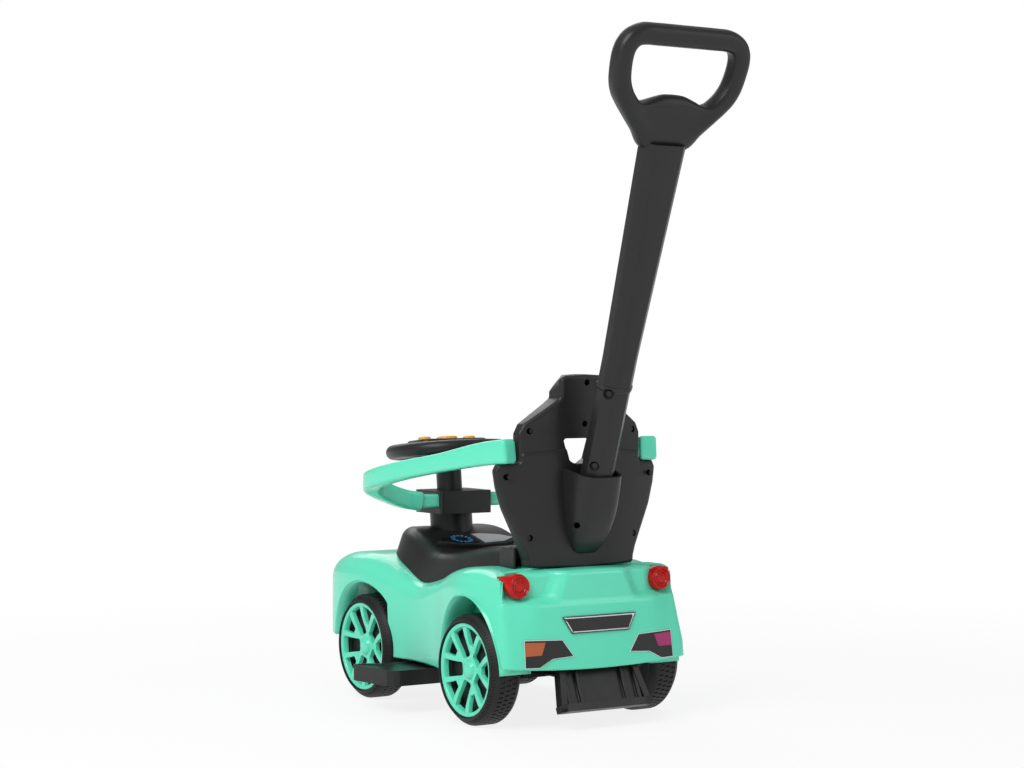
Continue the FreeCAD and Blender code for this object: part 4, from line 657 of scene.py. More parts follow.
# Points of the lamp's tip, which turns round the body's corner
LAMP_TIP = [(0.1180, -0.1470, 0.1990), (0.1250, -0.1430, 0.1985), (0.1305, -0.1365, 0.1980),
            (0.1345, -0.1270, 0.1970), (0.1340, -0.1290, 0.1930), (0.1270, -0.1320, 0.1985)]
# Rings of the housing and of the lens: share of the radius, share of how proud it stands
HOUSING_RINGS = [(1.06, -1.0), (1.06, 0.35), (0.99, 0.6)]
LENS_RINGS = [(1.00, 0.0), (0.98, 0.85), (0.93, 1.0), (0.84, 1.0), (0.77, 0.80), (0.70, 0.80), (0.64, 0.96),
              (0.58, 0.96), (0.52, 0.78), (0.46, 0.76), (0.40, 0.90), (0.22, 0.96)]
LAMP_STEPS = 48


def tail_light(side):
    wall = rear_surface(LAMP_X, LAMP_Z)
    centre = Vector((side * LAMP_X, 0, LAMP_Z))

    def circle(radius, depth):
        return [centre + Vector((math.cos(a) * radius * LAMP_RADIUS, wall - depth * LAMP_PROUD,
                                 math.sin(a) * radius * LAMP_RADIUS))
                for a in (2 * math.pi * k / LAMP_STEPS for k in range(LAMP_STEPS))]

    housing = bmesh.new()
    spots = [spot for ring in HOUSING_RINGS for spot in circle(*ring)]
    spots += [Vector((side * x, y, z)) for x, y, z in LAMP_TIP]
    grown = bmesh.ops.convex_hull(housing, input=[housing.verts.new(spot) for spot in spots])
    bmesh.ops.delete(housing, geom=list(set(grown["geom_interior"] + grown["geom_unused"])), context="VERTS")
    return joined(housing, loft([circle(*ring) for ring in LENS_RINGS]))


for label, side in (("left", -1), ("right", 1)):
    piece(f"tail_light_{label}_lens", tail_light(side), "chassis", "red", f"tail_light_{label}")


# Wheels

TREAD_STEPS, TREAD_FROM, BAND_SLACK, BLOCK_RIM = 195, 0.9, 0.0002, 0.0004
# Bands of sunk blocks, the first on the shoulder: depths from the outer face, one step in how many, sink
TREAD_BANDS = [(0.0020, 0.0058, 2, 0.0007), (0.0120, 0.0185, 3, 0.0013), (0.0205, 0.0270, 3, 0.0013),
               (0.0290, 0.0355, 3, 0.0013)]
# Tyre section: depth from the outer face, radius as a share of the tyre's
TYRE_SHARES = [
    (0.0170, 0.000), (0.0170, 0.775), (0.0100, 0.842), (0.0030, 0.847), (0.0006, 0.850), (0.0000, 0.860),
    (0.0004, 0.874), (0.0020, 0.897), (0.0058, 0.950), (0.0085, 0.982), (0.0105, 0.996), (0.0120, 1.000),
    (0.0185, 1.000), (0.0205, 1.000), (0.0270, 1.000), (0.0290, 1.000), (0.0355, 1.000), (0.0372, 0.996),
    (0.0395, 0.982), (0.0425, 0.950), (0.0450, 0.905), (0.0460, 0.850), (0.0450, 0.790), (0.0230, 0.779),
    (0.0215, 0.760), (0.0215, 0.200), (0.0260, 0.190), (0.0260, 0.000)]
# Cover ring and hub: depth from the outer face, radius
RING = [(0.0110, 0.0545), (0.0046, 0.0548), (0.0030, 0.0556), (0.0022, 0.0570), (0.0020, 0.0592),
        (0.0026, 0.0605), (0.0040, 0.0610), (0.0110, 0.0610)]
HUB = [(0.0160, 0.0165), (0.0104, 0.0162), (0.0094, 0.0150), (0.0090, 0.0124), (0.0078, 0.0116),
       (0.0062, 0.0108), (0.0046, 0.0084), (0.0038, 0.0045), (0.0036, 0.0)]
RING_STEPS, HUB_STEPS = 96, 48
# Cover's web: an open slot between two forks and the window inside a fork, along and half across
WEB_RADIUS, WEB_STEPS, WEB_GRID, WEB_THICK, WEB_BEVEL = 0.0562, 120, 0.007, 0.0060, 0.0013
WEB_RING_DEPTH, WEB_HUB_DEPTH, WEB_BEND = 0.0036, 0.0094, (0.012, 0.054)
SLOT_ROUND = 0.0092
SLOT = [(0.0600, 0.0132), (0.0255, SLOT_ROUND), (0.0164, SLOT_ROUND)]
FORK, FORK_ROUND = [(0.0600, 0.0170), (0.0330, 0.0048)], 0.0016
FORK_COUNT, FORK_TURN = 5, math.radians(111)
TYRE_SMOOTH = math.radians(28)


def turned(points, angle):
    c, s = math.cos(angle), math.sin(angle)
    return [(a * c - b * s, a * s + b * c) for a, b in points]


def cover_web():
    """The cover's forked web about the origin, with its outer face at zero along Y."""
    angles = [math.tau * k / WEB_STEPS for k in range(WEB_STEPS)]
    disc = slab([(WEB_RADIUS * math.cos(a), WEB_RADIUS * math.sin(a)) for a in angles], WEB_THICK, 0.0)
    cutters = []
    for outline, radius, shift in ((SLOT, SLOT_ROUND, 0.5), (FORK, FORK_ROUND, 0.0)):
        whole = outline + [(a, -b) for a, b in reversed(outline)]
        for k in range(FORK_COUNT):
            spots = turned(rounded(whole, radius, 6), math.tau * (k + shift) / FORK_COUNT)
            cutters.append(slab(spots, 2 * WEB_THICK, -WEB_THICK))
    web = carved(disc, joined(*cutters))
    bevel(web, WEB_BEVEL, 2, lambda edge: all(abs(vert.co.y) < WELD for vert in edge.verts))
    divided(web, 0, -WEB_RADIUS, WEB_RADIUS, WEB_GRID)
    divided(web, 2, -WEB_RADIUS, WEB_RADIUS, WEB_GRID)
    return web


WEB = cover_web()


def wheel(label, body):
    low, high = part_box("tyre_" + label)
    centre = (low + high) / 2
    radius = (high.z - low.z) / 2
    side = 1 if centre.x > 0 else -1
    outer = high.x if side > 0 else low.x

    def depth(vert):
        return (outer - vert.co.x) * side

    tyre = spun([(outer - side * deep, share * radius) for deep, share in TYRE_SHARES], centre, TREAD_STEPS)
    for number, (near, far, every, sink) in enumerate(TREAD_BANDS):
        chosen = []
        for face in tyre.faces:
            if all(near - BAND_SLACK < depth(vert) < far + BAND_SLACK for vert in face.verts):
                way = face.calc_center_median() - centre
                step = math.floor((math.atan2(way.z, way.y) / math.tau % 1) * TREAD_STEPS)
                if (step + number) % every == 0 and way.yz.length > TREAD_FROM * radius:
                    chosen.append(face)
        bmesh.ops.inset_individual(tyre, faces=chosen, thickness=BLOCK_RIM, depth=-sink)
    piece(f"tyre_{label}_skin", tyre, body, "tyre", "tyre_" + label, smooth=TYRE_SMOOTH)

    ring = spun([(outer - side * deep, r) for deep, r in RING], centre, RING_STEPS, closed=True)
    hub = spun([(outer - side * deep, r) for deep, r in HUB], centre, HUB_STEPS)
    web = WEB.copy()
    for vert in web.verts:
        out = rise(*WEB_BEND, math.hypot(vert.co.x, vert.co.z))
        deep = WEB_HUB_DEPTH + (WEB_RING_DEPTH - WEB_HUB_DEPTH) * out + vert.co.y
        ((along_y, along_z),) = turned([(vert.co.x, vert.co.z)], FORK_TURN * side)
        vert.co = Vector((outer - side * deep, centre.y + along_y, centre.z + along_z))
    piece(f"rim_{label}_skin", joined(ring, hub, web), body, "mint", "rim_" + label)


for label in ("rear_left", "rear_right", "front_left", "front_right"):
    wheel(label, NODES["tyre_" + label]["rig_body"])


# Backrest

BACK_SPLIT, BACK_FLAT, BACK_FRONT = -0.105, -0.125, -0.085
# Rear surface: y at its middle, how far and from where its sides come forward, lean of the head
BACK_MIDDLE, BACK_BOW, BACK_BOW_FROM, BACK_BOW_SPAN, BACK_BOW_POWER = -0.1325, 0.0165, 0.040, 0.074, 1.5
BACK_LEAN, BACK_LEAN_Z = 0.09, 0.390
BACK_STEP, BACK_CORNER, BACK_EDGE, BACK_FRONT_EDGE, BACK_SEAM = 0.0022, 0.006, 0.0062, 0.006, 0.0006
HEAD_HALF, HEAD_CUT_Z, HEAD_CUT_Y, HEAD_CUT_RISE, HEAD_CUT_SLOPE = 0.0400, 0.434, -0.1075, 0.62, 0.95
PAD_INSET, PAD_LOWER, LOWER_SETBACK = 0.016, 0.010, 0.002
# Half outlines of the rear shell, its lower panel and the window
BACK_OUTLINE = [(0.0, 0.2046), (0.0830, 0.2046), (0.0838, 0.2150), (0.0878, 0.2270), (0.0945, 0.2410),
                (0.1150, 0.2820), (0.1240, 0.3100), (0.1275, 0.3310), (0.1225, 0.3400), (0.0950, 0.3400),
                (0.0955, 0.3780), (0.0890, 0.3905), (0.0490, 0.4172), (0.0400, 0.4240), (0.0400, 0.4480),
                (0.0330, 0.4530), (0.0, 0.4548)]
BACK_LOWER = [(0.0, 0.2055), (0.0818, 0.2055), (0.0826, 0.2152), (0.0866, 0.2272), (0.0933, 0.2412),
              (0.1137, 0.2822), (0.1227, 0.3100), (0.1260, 0.3305), (0.1213, 0.3390), (0.0935, 0.3396),
              (0.0928, 0.3540), (0.0600, 0.3572), (0.0, 0.3620)]
BACK_WINDOW = [(0.0, 0.3370), (0.0160, 0.3370), (0.0255, 0.3430), (0.0335, 0.3690), (0.0305, 0.3715),
               (0.0, 0.3715)]
WINDOW_CORNER, WINDOW_CUT = 0.002, (0.0, -0.20)
BACK_WELLS = [(0.0815, 0.3815), (0.1125, 0.3230), (0.0820, 0.2440), (0.0, 0.4440), (0.0, 0.3900)]
WELL_RADIUS, WELL_DEPTH = 0.0042, 0.012
BACK_GRID, BACK_ACROSS, BACK_UP = 0.006, (-0.132, 0.132), (0.204, 0.456)
BACK_SMOOTH = math.radians(30)


def back_rear(x, z):
    side = max(0, abs(x) - BACK_BOW_FROM) / BACK_BOW_SPAN
    return BACK_MIDDLE + BACK_BOW * side ** BACK_BOW_POWER - BACK_LEAN * max(0, z - BACK_LEAN_Z)


def shell(outline, front, rear, edge):
    bm = slab(rounded(both_sides(outline), BACK_CORNER), front, rear)
    for y, width, segments in ((rear, edge, 4), (front, BACK_SEAM, 1)):
        bevel(bm, width, segments, lambda e: all(abs(vert.co.y - y) < WELD for vert in e.verts))
    return bm


def back_cutters():
    window = slab(rounded(both_sides(BACK_WINDOW), WINDOW_CORNER, 3), *WINDOW_CUT)
    pegs = [peg(Vector((side * x, BACK_FLAT, z)), Vector((0, 1, 0)), WELL_RADIUS, 2 * WELL_DEPTH)
            for x, z in BACK_WELLS for side in ((-1, 1) if x else (1,))]
    return joined(window, *pegs)


def bowed(bm, step):
    """The flat shell with the head's front corners cut back and its rear bowed."""
    divided(bm, 0, *BACK_ACROSS, BACK_GRID)
    divided(bm, 2, *BACK_UP, BACK_GRID)
    for vert in bm.verts:
        x, y, z = vert.co
        if y < BACK_SPLIT:
            share = (y - BACK_SPLIT) / (BACK_FLAT - BACK_SPLIT)
            y = BACK_SPLIT + share * (back_rear(x, z) + step - BACK_SPLIT)
        start = HEAD_CUT_Z + (HEAD_CUT_Y - y) * HEAD_CUT_RISE
        if z > start:
            x = math.copysign(min(abs(x), HEAD_HALF - (z - start) * HEAD_CUT_SLOPE), x)
        vert.co = (x, y, z)
    return bm


back_pad = [(max(0.0, x - PAD_INSET), z - (PAD_LOWER if z > HEAD_CUT_Z else 0.0))
            for x, z in BACK_OUTLINE[:-2]]
back_pad.append((0.0, BACK_OUTLINE[-1][1] - PAD_LOWER))
for name, outline, front, rear, edge, step, nodes in (
        ("backrest_rear_skin", BACK_OUTLINE, BACK_SPLIT, BACK_FLAT, BACK_EDGE, BACK_STEP, ["backrest_rear"]),
        ("backrest_low_panel", BACK_LOWER, BACK_SPLIT - LOWER_SETBACK, BACK_FLAT, BACK_EDGE, 0, []),
        ("backrest_front_skin", back_pad, BACK_SPLIT, BACK_FRONT, BACK_FRONT_EDGE, 0, ["backrest_front"])):
    cut_shell = carved(shell(outline, front, rear, edge), back_cutters())
    piece(name, bowed(cut_shell, step), "chassis", "black", *nodes, smooth=BACK_SMOOTH)

HANDLE_AXIS = Vector(JOINTS["handle_lift"]["axis"])
HANDLE_DEEP = Vector((0, HANDLE_AXIS.z, -HANDLE_AXIS.y))
HANDLE_FOOT = Vector((0, -0.136, 0.262))
# Socket: share of the height, half width, reach behind the panel
SOCKET_ROWS = [(0.000, 0.0165, 0.0004), (0.022, 0.0190, 0.0030), (0.067, 0.0222, 0.0080),
               (0.133, 0.0256, 0.0150), (0.325, 0.0310, 0.0275), (0.517, 0.0338, 0.0355),
               (0.742, 0.0351, 0.0420), (1.000, 0.0353, 0.0480)]
SOCKET_LOW, SOCKET_HIGH, SOCKET_DROP, SOCKET_SQUARE = 0.2215, 0.334, 0.26, 0.52
SOCKET_WALL, SOCKET_BURIED = 0.0032, 0.006
SOCKET_HOLE, SOCKET_HOLE_TURN = (0.0262, -0.150, 0.260), 0.6
SOCKET_HOLE_RADIUS, SOCKET_HOLE_LENGTH = 0.0042, 0.018
SOCKET_STEPS, SOCKET_RINGS, SOCKET_SMOOTH = 40, 36, math.radians(50)
SOCKET_EDGE, SOCKET_EDGE_TURN = 0.0008, 0.8


def socket_ring(share):
    half, reach = along(SOCKET_ROWS, share)
    ring = []
    for inset in (0, SOCKET_WALL):
        side = []
        for k in range(SOCKET_STEPS + 1):
            angle = math.pi * k / SOCKET_STEPS
            c, s = math.cos(angle), max(0, math.sin(angle))
            behind = max(0, reach + SOCKET_BURIED - inset) * s ** SOCKET_SQUARE
            high = SOCKET_HIGH - SOCKET_DROP * max(0, behind - SOCKET_BURIED)
            side.append(Vector((max(0, half - inset) * math.copysign(abs(c) ** SOCKET_SQUARE, c),
                                BACK_MIDDLE + SOCKET_BURIED - behind,
                                SOCKET_LOW + (high - SOCKET_LOW) * share)))
        ring += side if inset == 0 else reversed(side)
    return ring


def socket_hole(side):
    x, y, z = SOCKET_HOLE
    way = Vector((side * SOCKET_HOLE_TURN, -1, 0)).normalized()
    return peg(Vector((side * x, y, z)), way, SOCKET_HOLE_RADIUS, SOCKET_HOLE_LENGTH)


socket = loft([socket_ring(k / SOCKET_RINGS) for k in range(SOCKET_RINGS + 1)])
socket = carved(socket, joined(socket_hole(-1), socket_hole(1)))
soften(piece("handle_socket", socket, "chassis", "black", smooth=SOCKET_SMOOTH), SOCKET_EDGE,
       turn=SOCKET_EDGE_TURN)


# Push handle

SLEEVE_LENGTH, SLEEVE_HALF, SLEEVE_DEEP, SLEEVE_CHAMFER = 0.192, 0.0216, 0.0180, 0.0110
SLEEVE_FOOT, SLEEVE_LIP, SLEEVE_CORNER = 0.002, 0.0013, 0.0020
# Sleeve's upper end: distance below it, growth of the section
SLEEVE_END = [(0.0085, 0.0), (0.0065, SLEEVE_LIP), (0.001, SLEEVE_LIP), (0.0, 0.0), (0.0, -0.004)]
SCREW_UPS, SCREW_HEAD = (0.083, 0.181), 0.0014
DISH_RADIUS, DISH_DEPTH, DISH_FOOT, DISH_STEPS = 0.0068, 0.0045, 0.55, 28
ROD_LENGTH, ROD_HALF, ROD_DEEP, ROD_TOP_HALF, ROD_TOP_DEEP = 0.316, 0.0228, 0.0190, 0.0330, 0.0175
ROD_STRAIGHT, ROD_CHAMFER, ROD_CORNER, ROD_BURIED, ROD_STEPS = 0.12, 0.0120, 0.0040, 0.004, 24
GRIP_LOW, GRIP_HEIGHT, GRIP_HALF, GRIP_DEEP, GRIP_TILT = 0.500, 0.156, 0.1005, 0.0135, 0.006
# Grip's outer and inner outline, in shares of its half width and height
GRIP_OUTER_SHARES = [
    (0.00, -0.010), (0.33, 0.005), (0.50, 0.128), (0.65, 0.228), (0.785, 0.320), (0.89, 0.403), (0.95, 0.483),
    (0.98, 0.565), (1.00, 0.680), (1.00, 0.760), (0.965, 0.850), (0.865, 0.935), (0.68, 0.992), (0.45, 1.000),
    (0.00, 1.000)]
GRIP_INNER_SHARES = [
    (0.00, 0.445), (0.16, 0.438), (0.32, 0.405), (0.42, 0.380), (0.50, 0.378), (0.58, 0.415), (0.66, 0.474),
    (0.72, 0.550), (0.748, 0.640), (0.755, 0.720), (0.742, 0.775), (0.69, 0.815), (0.58, 0.826),
    (0.45, 0.826), (0.00, 0.826)]
GRIP_SQUARE, GRIP_GRID = 0.74, (72, 36)
# Hollow in the grip's lower bar: share of the thickness, stretch along the bar, half width, shift, soft edge
GRIP_DISH, GRIP_DISH_ALONG = 0.28, (0.12, 0.30)
GRIP_DISH_HALF, GRIP_DISH_SHIFT, GRIP_DISH_EDGE = 0.9, 0.1, (0.25, 0.8)
SLEEVE_SMOOTH, ROD_SMOOTH, GRIP_SMOOTH = math.radians(30), math.radians(40), math.radians(70)


def handle(x, deep, up):
    return HANDLE_FOOT + Vector((x, 0, 0)) + HANDLE_DEEP * deep + HANDLE_AXIS * up


def faceted(half, deep, chamfer, corner):
    c = chamfer
    points = [(half, deep - c), (half - c, deep), (c - half, deep), (-half, deep - c),
              (-half, c - deep), (c - half, -deep), (half - c, -deep), (half, c - deep)]
    return rounded(points, corner, 3)


def handle_loft(rows, corner):
    rings = []
    for up, half, deep, chamfer in rows:
        rings.append([handle(p.x, p.y, up) for p in faceted(half, deep, chamfer, corner)])
    return loft(rings)


def sleeve_rows():
    rows = [(0.0, -SLEEVE_FOOT), (SLEEVE_FOOT, 0.0)]
    rows += [(SLEEVE_LENGTH - down, grow) for down, grow in SLEEVE_END]
    return [(up, SLEEVE_HALF + grow, SLEEVE_DEEP + grow, SLEEVE_CHAMFER) for up, grow in rows]


facet = (Vector((-1, 0, 0)) - HANDLE_DEEP).normalized()
side_at = [handle(-SLEEVE_HALF + SLEEVE_CHAMFER / 2, -SLEEVE_DEEP + SLEEVE_CHAMFER / 2, up)
           for up in SCREW_UPS]
dishes = [peg(at, facet, DISH_RADIUS * DISH_FOOT, 2 * DISH_DEPTH, DISH_STEPS, DISH_RADIUS * (2 - DISH_FOOT))
          for at in side_at]
heads = [peg(at - facet * DISH_DEPTH, facet, DISH_RADIUS * DISH_FOOT, SCREW_HEAD) for at in side_at]
sleeve = carved(handle_loft(sleeve_rows(), SLEEVE_CORNER), joined(*dishes))
piece("handle_screw_heads", joined(*heads), "handle", "dark_steel", "handle_screws")
piece("handle_sleeve_skin", sleeve, "handle", "black", "handle_sleeve_front", "handle_sleeve_rear",
      smooth=SLEEVE_SMOOTH)
rod_rows = []
for share in (k / ROD_STEPS for k in range(ROD_STEPS + 1)):
    spread = max(0, (share - ROD_STRAIGHT) / (1 - ROD_STRAIGHT))
    rod_rows.append((SLEEVE_LENGTH - ROD_BURIED + share * (ROD_LENGTH + ROD_BURIED),
                     ROD_HALF + spread * (ROD_TOP_HALF - ROD_HALF),
                     ROD_DEEP + spread * (ROD_TOP_DEEP - ROD_DEEP), ROD_CHAMFER))
piece("push_rod_skin", handle_loft(rod_rows, ROD_CORNER), "handle", "black", "push_rod", smooth=ROD_SMOOTH)


def grip_point(u, v):
    outer, inner = (Vector(along(evenly(shares), u)) for shares in (GRIP_OUTER_SHARES, GRIP_INNER_SHARES))
    angle = math.tau * v
    c, s = math.cos(angle), math.sin(angle)
    reach = math.copysign(abs(c) ** GRIP_SQUARE, c)
    at = (outer + inner) / 2 + (outer - inner) / 2 * reach
    x = 0.0 if u in (0, 1) else at.x * GRIP_HALF
    dish = GRIP_DISH * (1 - rise(*GRIP_DISH_ALONG, u))
    dish *= rise(*GRIP_DISH_EDGE, GRIP_DISH_HALF - abs(reach + GRIP_DISH_SHIFT))
    deep = GRIP_DEEP * (1 - dish) * math.copysign(abs(s) ** GRIP_SQUARE, s) - GRIP_TILT * max(0, at.y)
    return handle(x, deep, GRIP_LOW + at.y * GRIP_HEIGHT)


grip = mirrored(surface(*GRIP_GRID, grip_point))
piece("push_grip_skin", grip, "handle", "black", "push_grip", smooth=GRIP_SMOOTH)


# Guard rail

RAIL_HALF, RAIL_Y, RAIL_REACH, RAIL_Z, RAIL_DROP = 0.167, -0.121, 0.299, 0.3565, 0.0825
RAIL_TALL, RAIL_THICK, RAIL_CORNER = 0.034, 0.024, 0.0050
# Along the rail, in shares: across, along, drop, height, thickness
RAIL_SHARES = [
    (0.655, 0.000, 0.000, 0.94, 1.00), (0.740, 0.150, 0.065, 0.88, 1.00), (0.868, 0.370, 0.220, 0.72, 1.00),
    (0.964, 0.600, 0.365, 0.73, 1.00), (1.000, 0.775, 0.495, 0.74, 1.00), (0.962, 0.905, 0.610, 0.73, 1.00),
    (0.830, 0.975, 0.745, 0.73, 0.97), (0.600, 0.998, 0.915, 0.76, 0.92), (0.420, 1.000, 0.985, 0.78, 0.90)]
RAIL_STEPS, RAIL_NEAR, RAIL_SMOOTH = 96, 0.01, math.radians(45)
# Rounded ends: size of the section, shift against the heading
RAIL_REAR_END = [(0.72, 0.0), (0.88, -0.0006), (0.97, -0.0025), (1.0, -0.005)]
RAIL_FRONT_END = [(0.96, -0.0010), (0.80, -0.0012)]
# Tongue inside the clip
TONGUE_X, TONGUE_SIZE = 0.071, 0.72


def rail_ring(share, grow=1.0, back=0.0):
    rows = evenly(RAIL_SHARES)

    def centre(t):
        x, y, z, _, _ = along(rows, t)
        return Vector((x * RAIL_HALF, RAIL_Y + y * RAIL_REACH, RAIL_Z - z * RAIL_DROP))

    heading = (centre(min(1, share + RAIL_NEAR)) - centre(max(0, share - RAIL_NEAR))).normalized()
    out = heading.cross(Vector((0, 0, 1))).normalized()
    up = out.cross(heading)
    _, _, _, tall, thick = along(rows, share)
    a, b = thick * RAIL_THICK / 2 * grow, tall * RAIL_TALL / 2 * grow
    corners = rounded([(a, b), (-a, b), (-a, -b), (a, -b)], RAIL_CORNER * grow, 5)
    return [centre(share) - heading * back + out * p.x + up * p.y for p in corners]


rail_rings = [rail_ring(0, *end) for end in RAIL_REAR_END]
rail_rings += [rail_ring(k / RAIL_STEPS) for k in range(2, RAIL_STEPS + 1)]
rail_rings += [rail_ring(1, *end) for end in RAIL_FRONT_END]
tongue = [[Vector((x, point.y, point.z)) for point in rail_ring(1, TONGUE_SIZE)] for x in (TONGUE_X, 0.0)]
rail = joined(loft(rail_rings), loft(tongue, caps=False))
piece("guard_rail_skin", mirrored(rail), "chassis", "mint", "guard_rail", smooth=RAIL_SMOOTH)


# Pieces that keep the CAD shape, with rounded edges

for node, look, width in (
        ("seat_lid", "black", 0.0012), ("dash_console", "black", 0.0012),
        ("guard_rail_clip", "black", 0.0016), ("column_collar", "black", 0.0016),
        ("steering_column", "black", 0.0008), ("steering_wheel", "black", 0.0012),
        ("sound_module", "black", 0.0020), ("horn_button", "yellow", 0.0012),
        ("left_note_button", "yellow", 0.0010), ("right_note_button", "yellow", 0.0010),
        ("rear_support", "black", 0.0012), ("instrument_panel", "ink_black", 0.0010),
        ("headlight_left", "clear", 0.0014), ("headlight_right", "clear", 0.0014)):
    softened(node, look, width)

# Seat corners: profiles from the side, beside the eyes of the seat's hinge
SEAT_CORNER_FROM, SEAT_CORNER_TO, SEAT_CORNER_EDGE = 0.0866, 0.0908, 0.0012
SEAT_CORNER = [(-0.0650, 0.1960), (-0.0650, 0.2210), (-0.0660, 0.2254), (-0.0690, 0.2284), (-0.0718, 0.2294),
               (-0.1000, 0.2300), (-0.1000, 0.1960)]


def seat_corner(side):
    bm = slab(SEAT_CORNER, SEAT_CORNER_FROM, SEAT_CORNER_TO)
    for vert in bm.verts:
        vert.co = (side * vert.co.y, vert.co.x, vert.co.z)
    bmesh.ops.recalc_face_normals(bm, faces=bm.faces)
    return bm


for name, side in (("seat_corner_left", -1), ("seat_corner_right", 1)):
    soften(piece(name, seat_corner(side), "chassis", "black"), SEAT_CORNER_EDGE)

# Rear support: raised border, in the plate's own frame
SUPPORT_AT, SUPPORT_LEAN = Vector((0, -0.147, 0.074)), math.radians(-24)
BORDER_SIDE = [(0.0515, -0.0010), (0.0605, -0.0010), (0.0713, -0.0585), (0.0623, -0.0585)]
BORDER_FOOT = [(-0.0713, -0.0585), (0.0713, -0.0585), (0.0694, -0.0485), (-0.0694, -0.0485)]
BORDER_FRONT, BORDER_REAR, BORDER_ROUND = -0.0060, -0.0140, 0.0026


def support_border():
    sides = [slab([(side * x, z) for x, z in BORDER_SIDE], BORDER_FRONT, BORDER_REAR) for side in (-1, 1)]
    bm = joined(*sides, slab(BORDER_FOOT, BORDER_FRONT, BORDER_REAR))
    place = Matrix.Translation(SUPPORT_AT) @ Matrix.Rotation(SUPPORT_LEAN, 4, "X")
    bmesh.ops.transform(bm, matrix=place, verts=bm.verts)
    return bm


soften(piece("support_border", support_border(), "chassis", "black"), BORDER_ROUND, 3)

# Footrests: outline from above, tread
FOOT_LOW, FOOT_HIGH, FOOT_EDGE = 0.0390, 0.0600, 0.0024
FOOT_OUTLINE = [(0.1000, 0.0500), (0.1740, 0.0500), (0.1828, 0.0528), (0.1880, 0.0610), (0.1968, 0.1360),
                (0.1930, 0.1425), (0.1780, 0.1425), (0.1580, 0.1280), (0.1000, 0.1280)]
FOOT_CORNER, FOOT_RIM, FOOT_DEEP = 0.0060, 0.0055, 0.0016


def footrest(side):
    bm = slab(rounded(FOOT_OUTLINE, FOOT_CORNER, 5), FOOT_HIGH, FOOT_LOW)
    for vert in bm.verts:
        vert.co = (side * vert.co.x, vert.co.z, vert.co.y)
    bmesh.ops.recalc_face_normals(bm, faces=bm.faces)
    top = [face for face in bm.faces if face.calc_center_median().z > FOOT_HIGH - WELD]
    for width in (FOOT_RIM, FOOT_DEEP):
        bmesh.ops.inset_region(bm, faces=top, thickness=width)
    sunk = {vert for face in top for vert in face.verts}
    bmesh.ops.translate(bm, verts=list(sunk), vec=(0, 0, -FOOT_DEEP))
    bmesh.ops.recalc_face_normals(bm, faces=bm.faces)
    return bm


for label, side in (("left", -1), ("right", 1)):
    node = "footrest_" + label
    soften(piece(node + "_skin", footrest(side), NODES[node]["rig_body"], "black", node), FOOT_EDGE, 3)

# Gauge: the top of the instrument panel, drawn in and lifted off it
GAUGE_LIFT, GAUGE_INSET, GAUGE_FACING = 0.0004, 0.0016, 0.8


def gauge_sheet():
    bm = bmesh.new()
    bm.from_mesh(NODES["instrument_panel"].data)
    bmesh.ops.remove_doubles(bm, verts=bm.verts, dist=WELD)
    bmesh.ops.delete(bm, geom=[face for face in bm.faces if face.normal.z < GAUGE_FACING], context="FACES")
    bmesh.ops.dissolve_limit(bm, angle_limit=FLAT, verts=bm.verts, edges=bm.edges)
    bmesh.ops.inset_region(bm, faces=bm.faces[:], thickness=GAUGE_INSET, use_even_offset=True)
    border = [face for face in bm.faces if any(edge.is_boundary for edge in face.edges)]
    bmesh.ops.delete(bm, geom=border, context="FACES")
    bmesh.ops.translate(bm, verts=bm.verts, vec=(0, 0, GAUGE_LIFT))
    return bm


piece("gauge_print", gauge_sheet(), "chassis", "gauge")

# Pieces left as the CAD has them
PLAIN = {
    "black": ["storage_tub", "chassis_pan", "front_axle_beam", "steering_knuckle_left",
              "steering_knuckle_right", "tie_rod", "column_bush", "rear_axle_bushes", "footrest_tray"],
    "steel": ["rear_axle", "kingpins", "chassis_screws"],
    "dark_steel": ["seat_hinge_pin", "column_screw", "backrest_screws"],
}
for look, names in PLAIN.items():
    for name in names:
        NODES[name].data.materials.clear()
        NODES[name].data.materials.append(LOOKS[look])


# Floor, light and camera

FLOOR_SIZE, FLOOR_GREY, FLOOR_ROUGHNESS, FLOOR_SPECULAR = 60.0, (0.92, 0.92, 0.92, 1), 0.9, 0.1
# White that the floor fades to: level near the car and where the fade starts and ends
FLOOR_WHITE, FLOOR_NEAR, FLOOR_FAR = 0.84, 0.5, 1.8


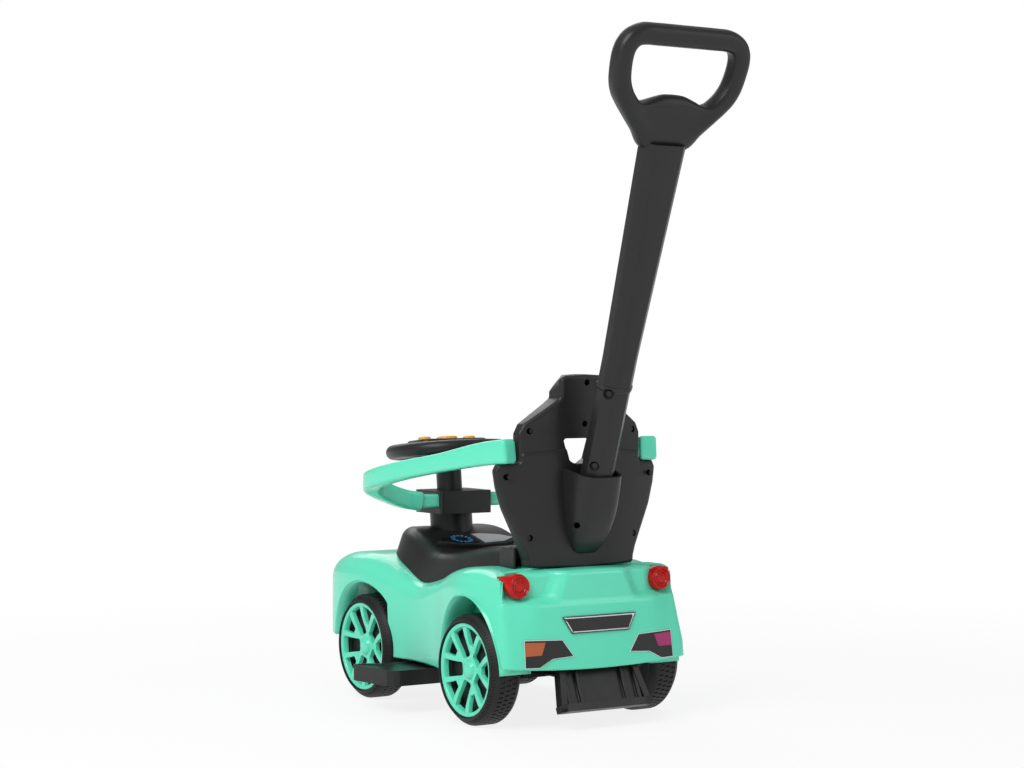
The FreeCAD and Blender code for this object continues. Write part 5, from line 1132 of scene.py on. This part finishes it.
def studio_floor():
    """A grey that takes shadows and fades to plain white away from the car."""
    look = bpy.data.materials.new("floor")
    look.use_nodes = True
    tree = look.node_tree
    shader = tree.nodes["Principled BSDF"]
    glow = tree.nodes.new("ShaderNodeEmission")
    rays = tree.nodes.new("ShaderNodeLightPath")
    place = tree.nodes.new("ShaderNodeTexCoord")
    reach = tree.nodes.new("ShaderNodeVectorMath")
    reach.operation = "LENGTH"
    fade = tree.nodes.new("ShaderNodeMapRange")
    fade.interpolation_type = "SMOOTHSTEP"
    seen = arithmetic(tree, "MAXIMUM", rays.outputs["Is Camera Ray"], rays.outputs["Is Glossy Ray"])
    seen = arithmetic(tree, "MAXIMUM", seen, rays.outputs["Is Transmission Ray"])
    blend = tree.nodes.new("ShaderNodeMixShader")
    for node, title, value in (
            (shader, "Base Color", FLOOR_GREY), (shader, "Roughness", FLOOR_ROUGHNESS),
            (shader, "Specular IOR Level", FLOOR_SPECULAR), (reach, 0, place.outputs["Object"]),
            (fade, "Value", reach.outputs["Value"]), (fade, "From Min", FLOOR_NEAR),
            (fade, "From Max", FLOOR_FAR), (fade, "To Min", FLOOR_WHITE), (fade, "To Max", 1.0),
            (blend, 0, arithmetic(tree, "MULTIPLY", seen, fade.outputs["Result"])),
            (blend, 1, shader.outputs[0]), (blend, 2, glow.outputs[0]),
            (tree.nodes["Material Output"], "Surface", blend.outputs[0])):
        feed(tree, node.inputs[title], value)
    return look


floor_shape = bmesh.new()
bmesh.ops.create_grid(floor_shape, x_segments=1, y_segments=1, size=FLOOR_SIZE)
floor = as_object("floor", floor_shape)
floor.data.materials.append(studio_floor())

SKY_LEVEL = 0.40
world = bpy.data.worlds.new("studio")
bpy.context.scene.world = world
world.use_nodes = True
sky = world.node_tree
back = sky.nodes["Background"]
back.inputs["Color"].default_value = (1, 1, 1, 1)
rays = sky.nodes.new("ShaderNodeLightPath")
level = arithmetic(sky, "MULTIPLY_ADD", rays.outputs["Is Camera Ray"], 1 - SKY_LEVEL, SKY_LEVEL)
sky.links.new(level, back.inputs["Strength"])

LIGHT_AIM = Vector((0, 0, 0.3))


def softbox(name, place, size, power):
    light = bpy.data.lights.new(name, "AREA")
    light.shape, light.size, light.size_y, light.energy = "RECTANGLE", size, size, power
    obj = bpy.data.objects.new(name, light)
    obj.location = place
    aim = LIGHT_AIM - Vector(place)
    obj.rotation_euler = aim.to_track_quat("-Z", "Y").to_euler()
    bpy.context.scene.collection.objects.link(obj)


softbox("key", (-2.1, -0.9, 2.3), 1.6, 58.0)
softbox("fill", (1.6, -2.2, 1.4), 1.4, 9.0)
softbox("rear", (0.6, 2.2, 2.0), 1.6, 18.0)

CAMERA_PLACE, CAMERA_YAW, CAMERA_PITCH = (-1.7219, -2.6259, 0.4783), 0.5726, -0.012
CAMERA_LENS, CAMERA_SENSOR = 81.77, 36.0
eye = bpy.data.cameras.new("camera")
eye.lens, eye.sensor_width = CAMERA_LENS, CAMERA_SENSOR
camera = bpy.data.objects.new("camera", eye)
camera.location = CAMERA_PLACE
gaze = Vector((math.sin(CAMERA_YAW) * math.cos(CAMERA_PITCH), math.cos(CAMERA_YAW) * math.cos(CAMERA_PITCH),
               math.sin(CAMERA_PITCH)))
camera.rotation_euler = gaze.to_track_quat("-Z", "Y").to_euler()
bpy.context.scene.collection.objects.link(camera)
bpy.context.scene.camera = camera
bpy.context.scene.view_settings.view_transform = "Standard"
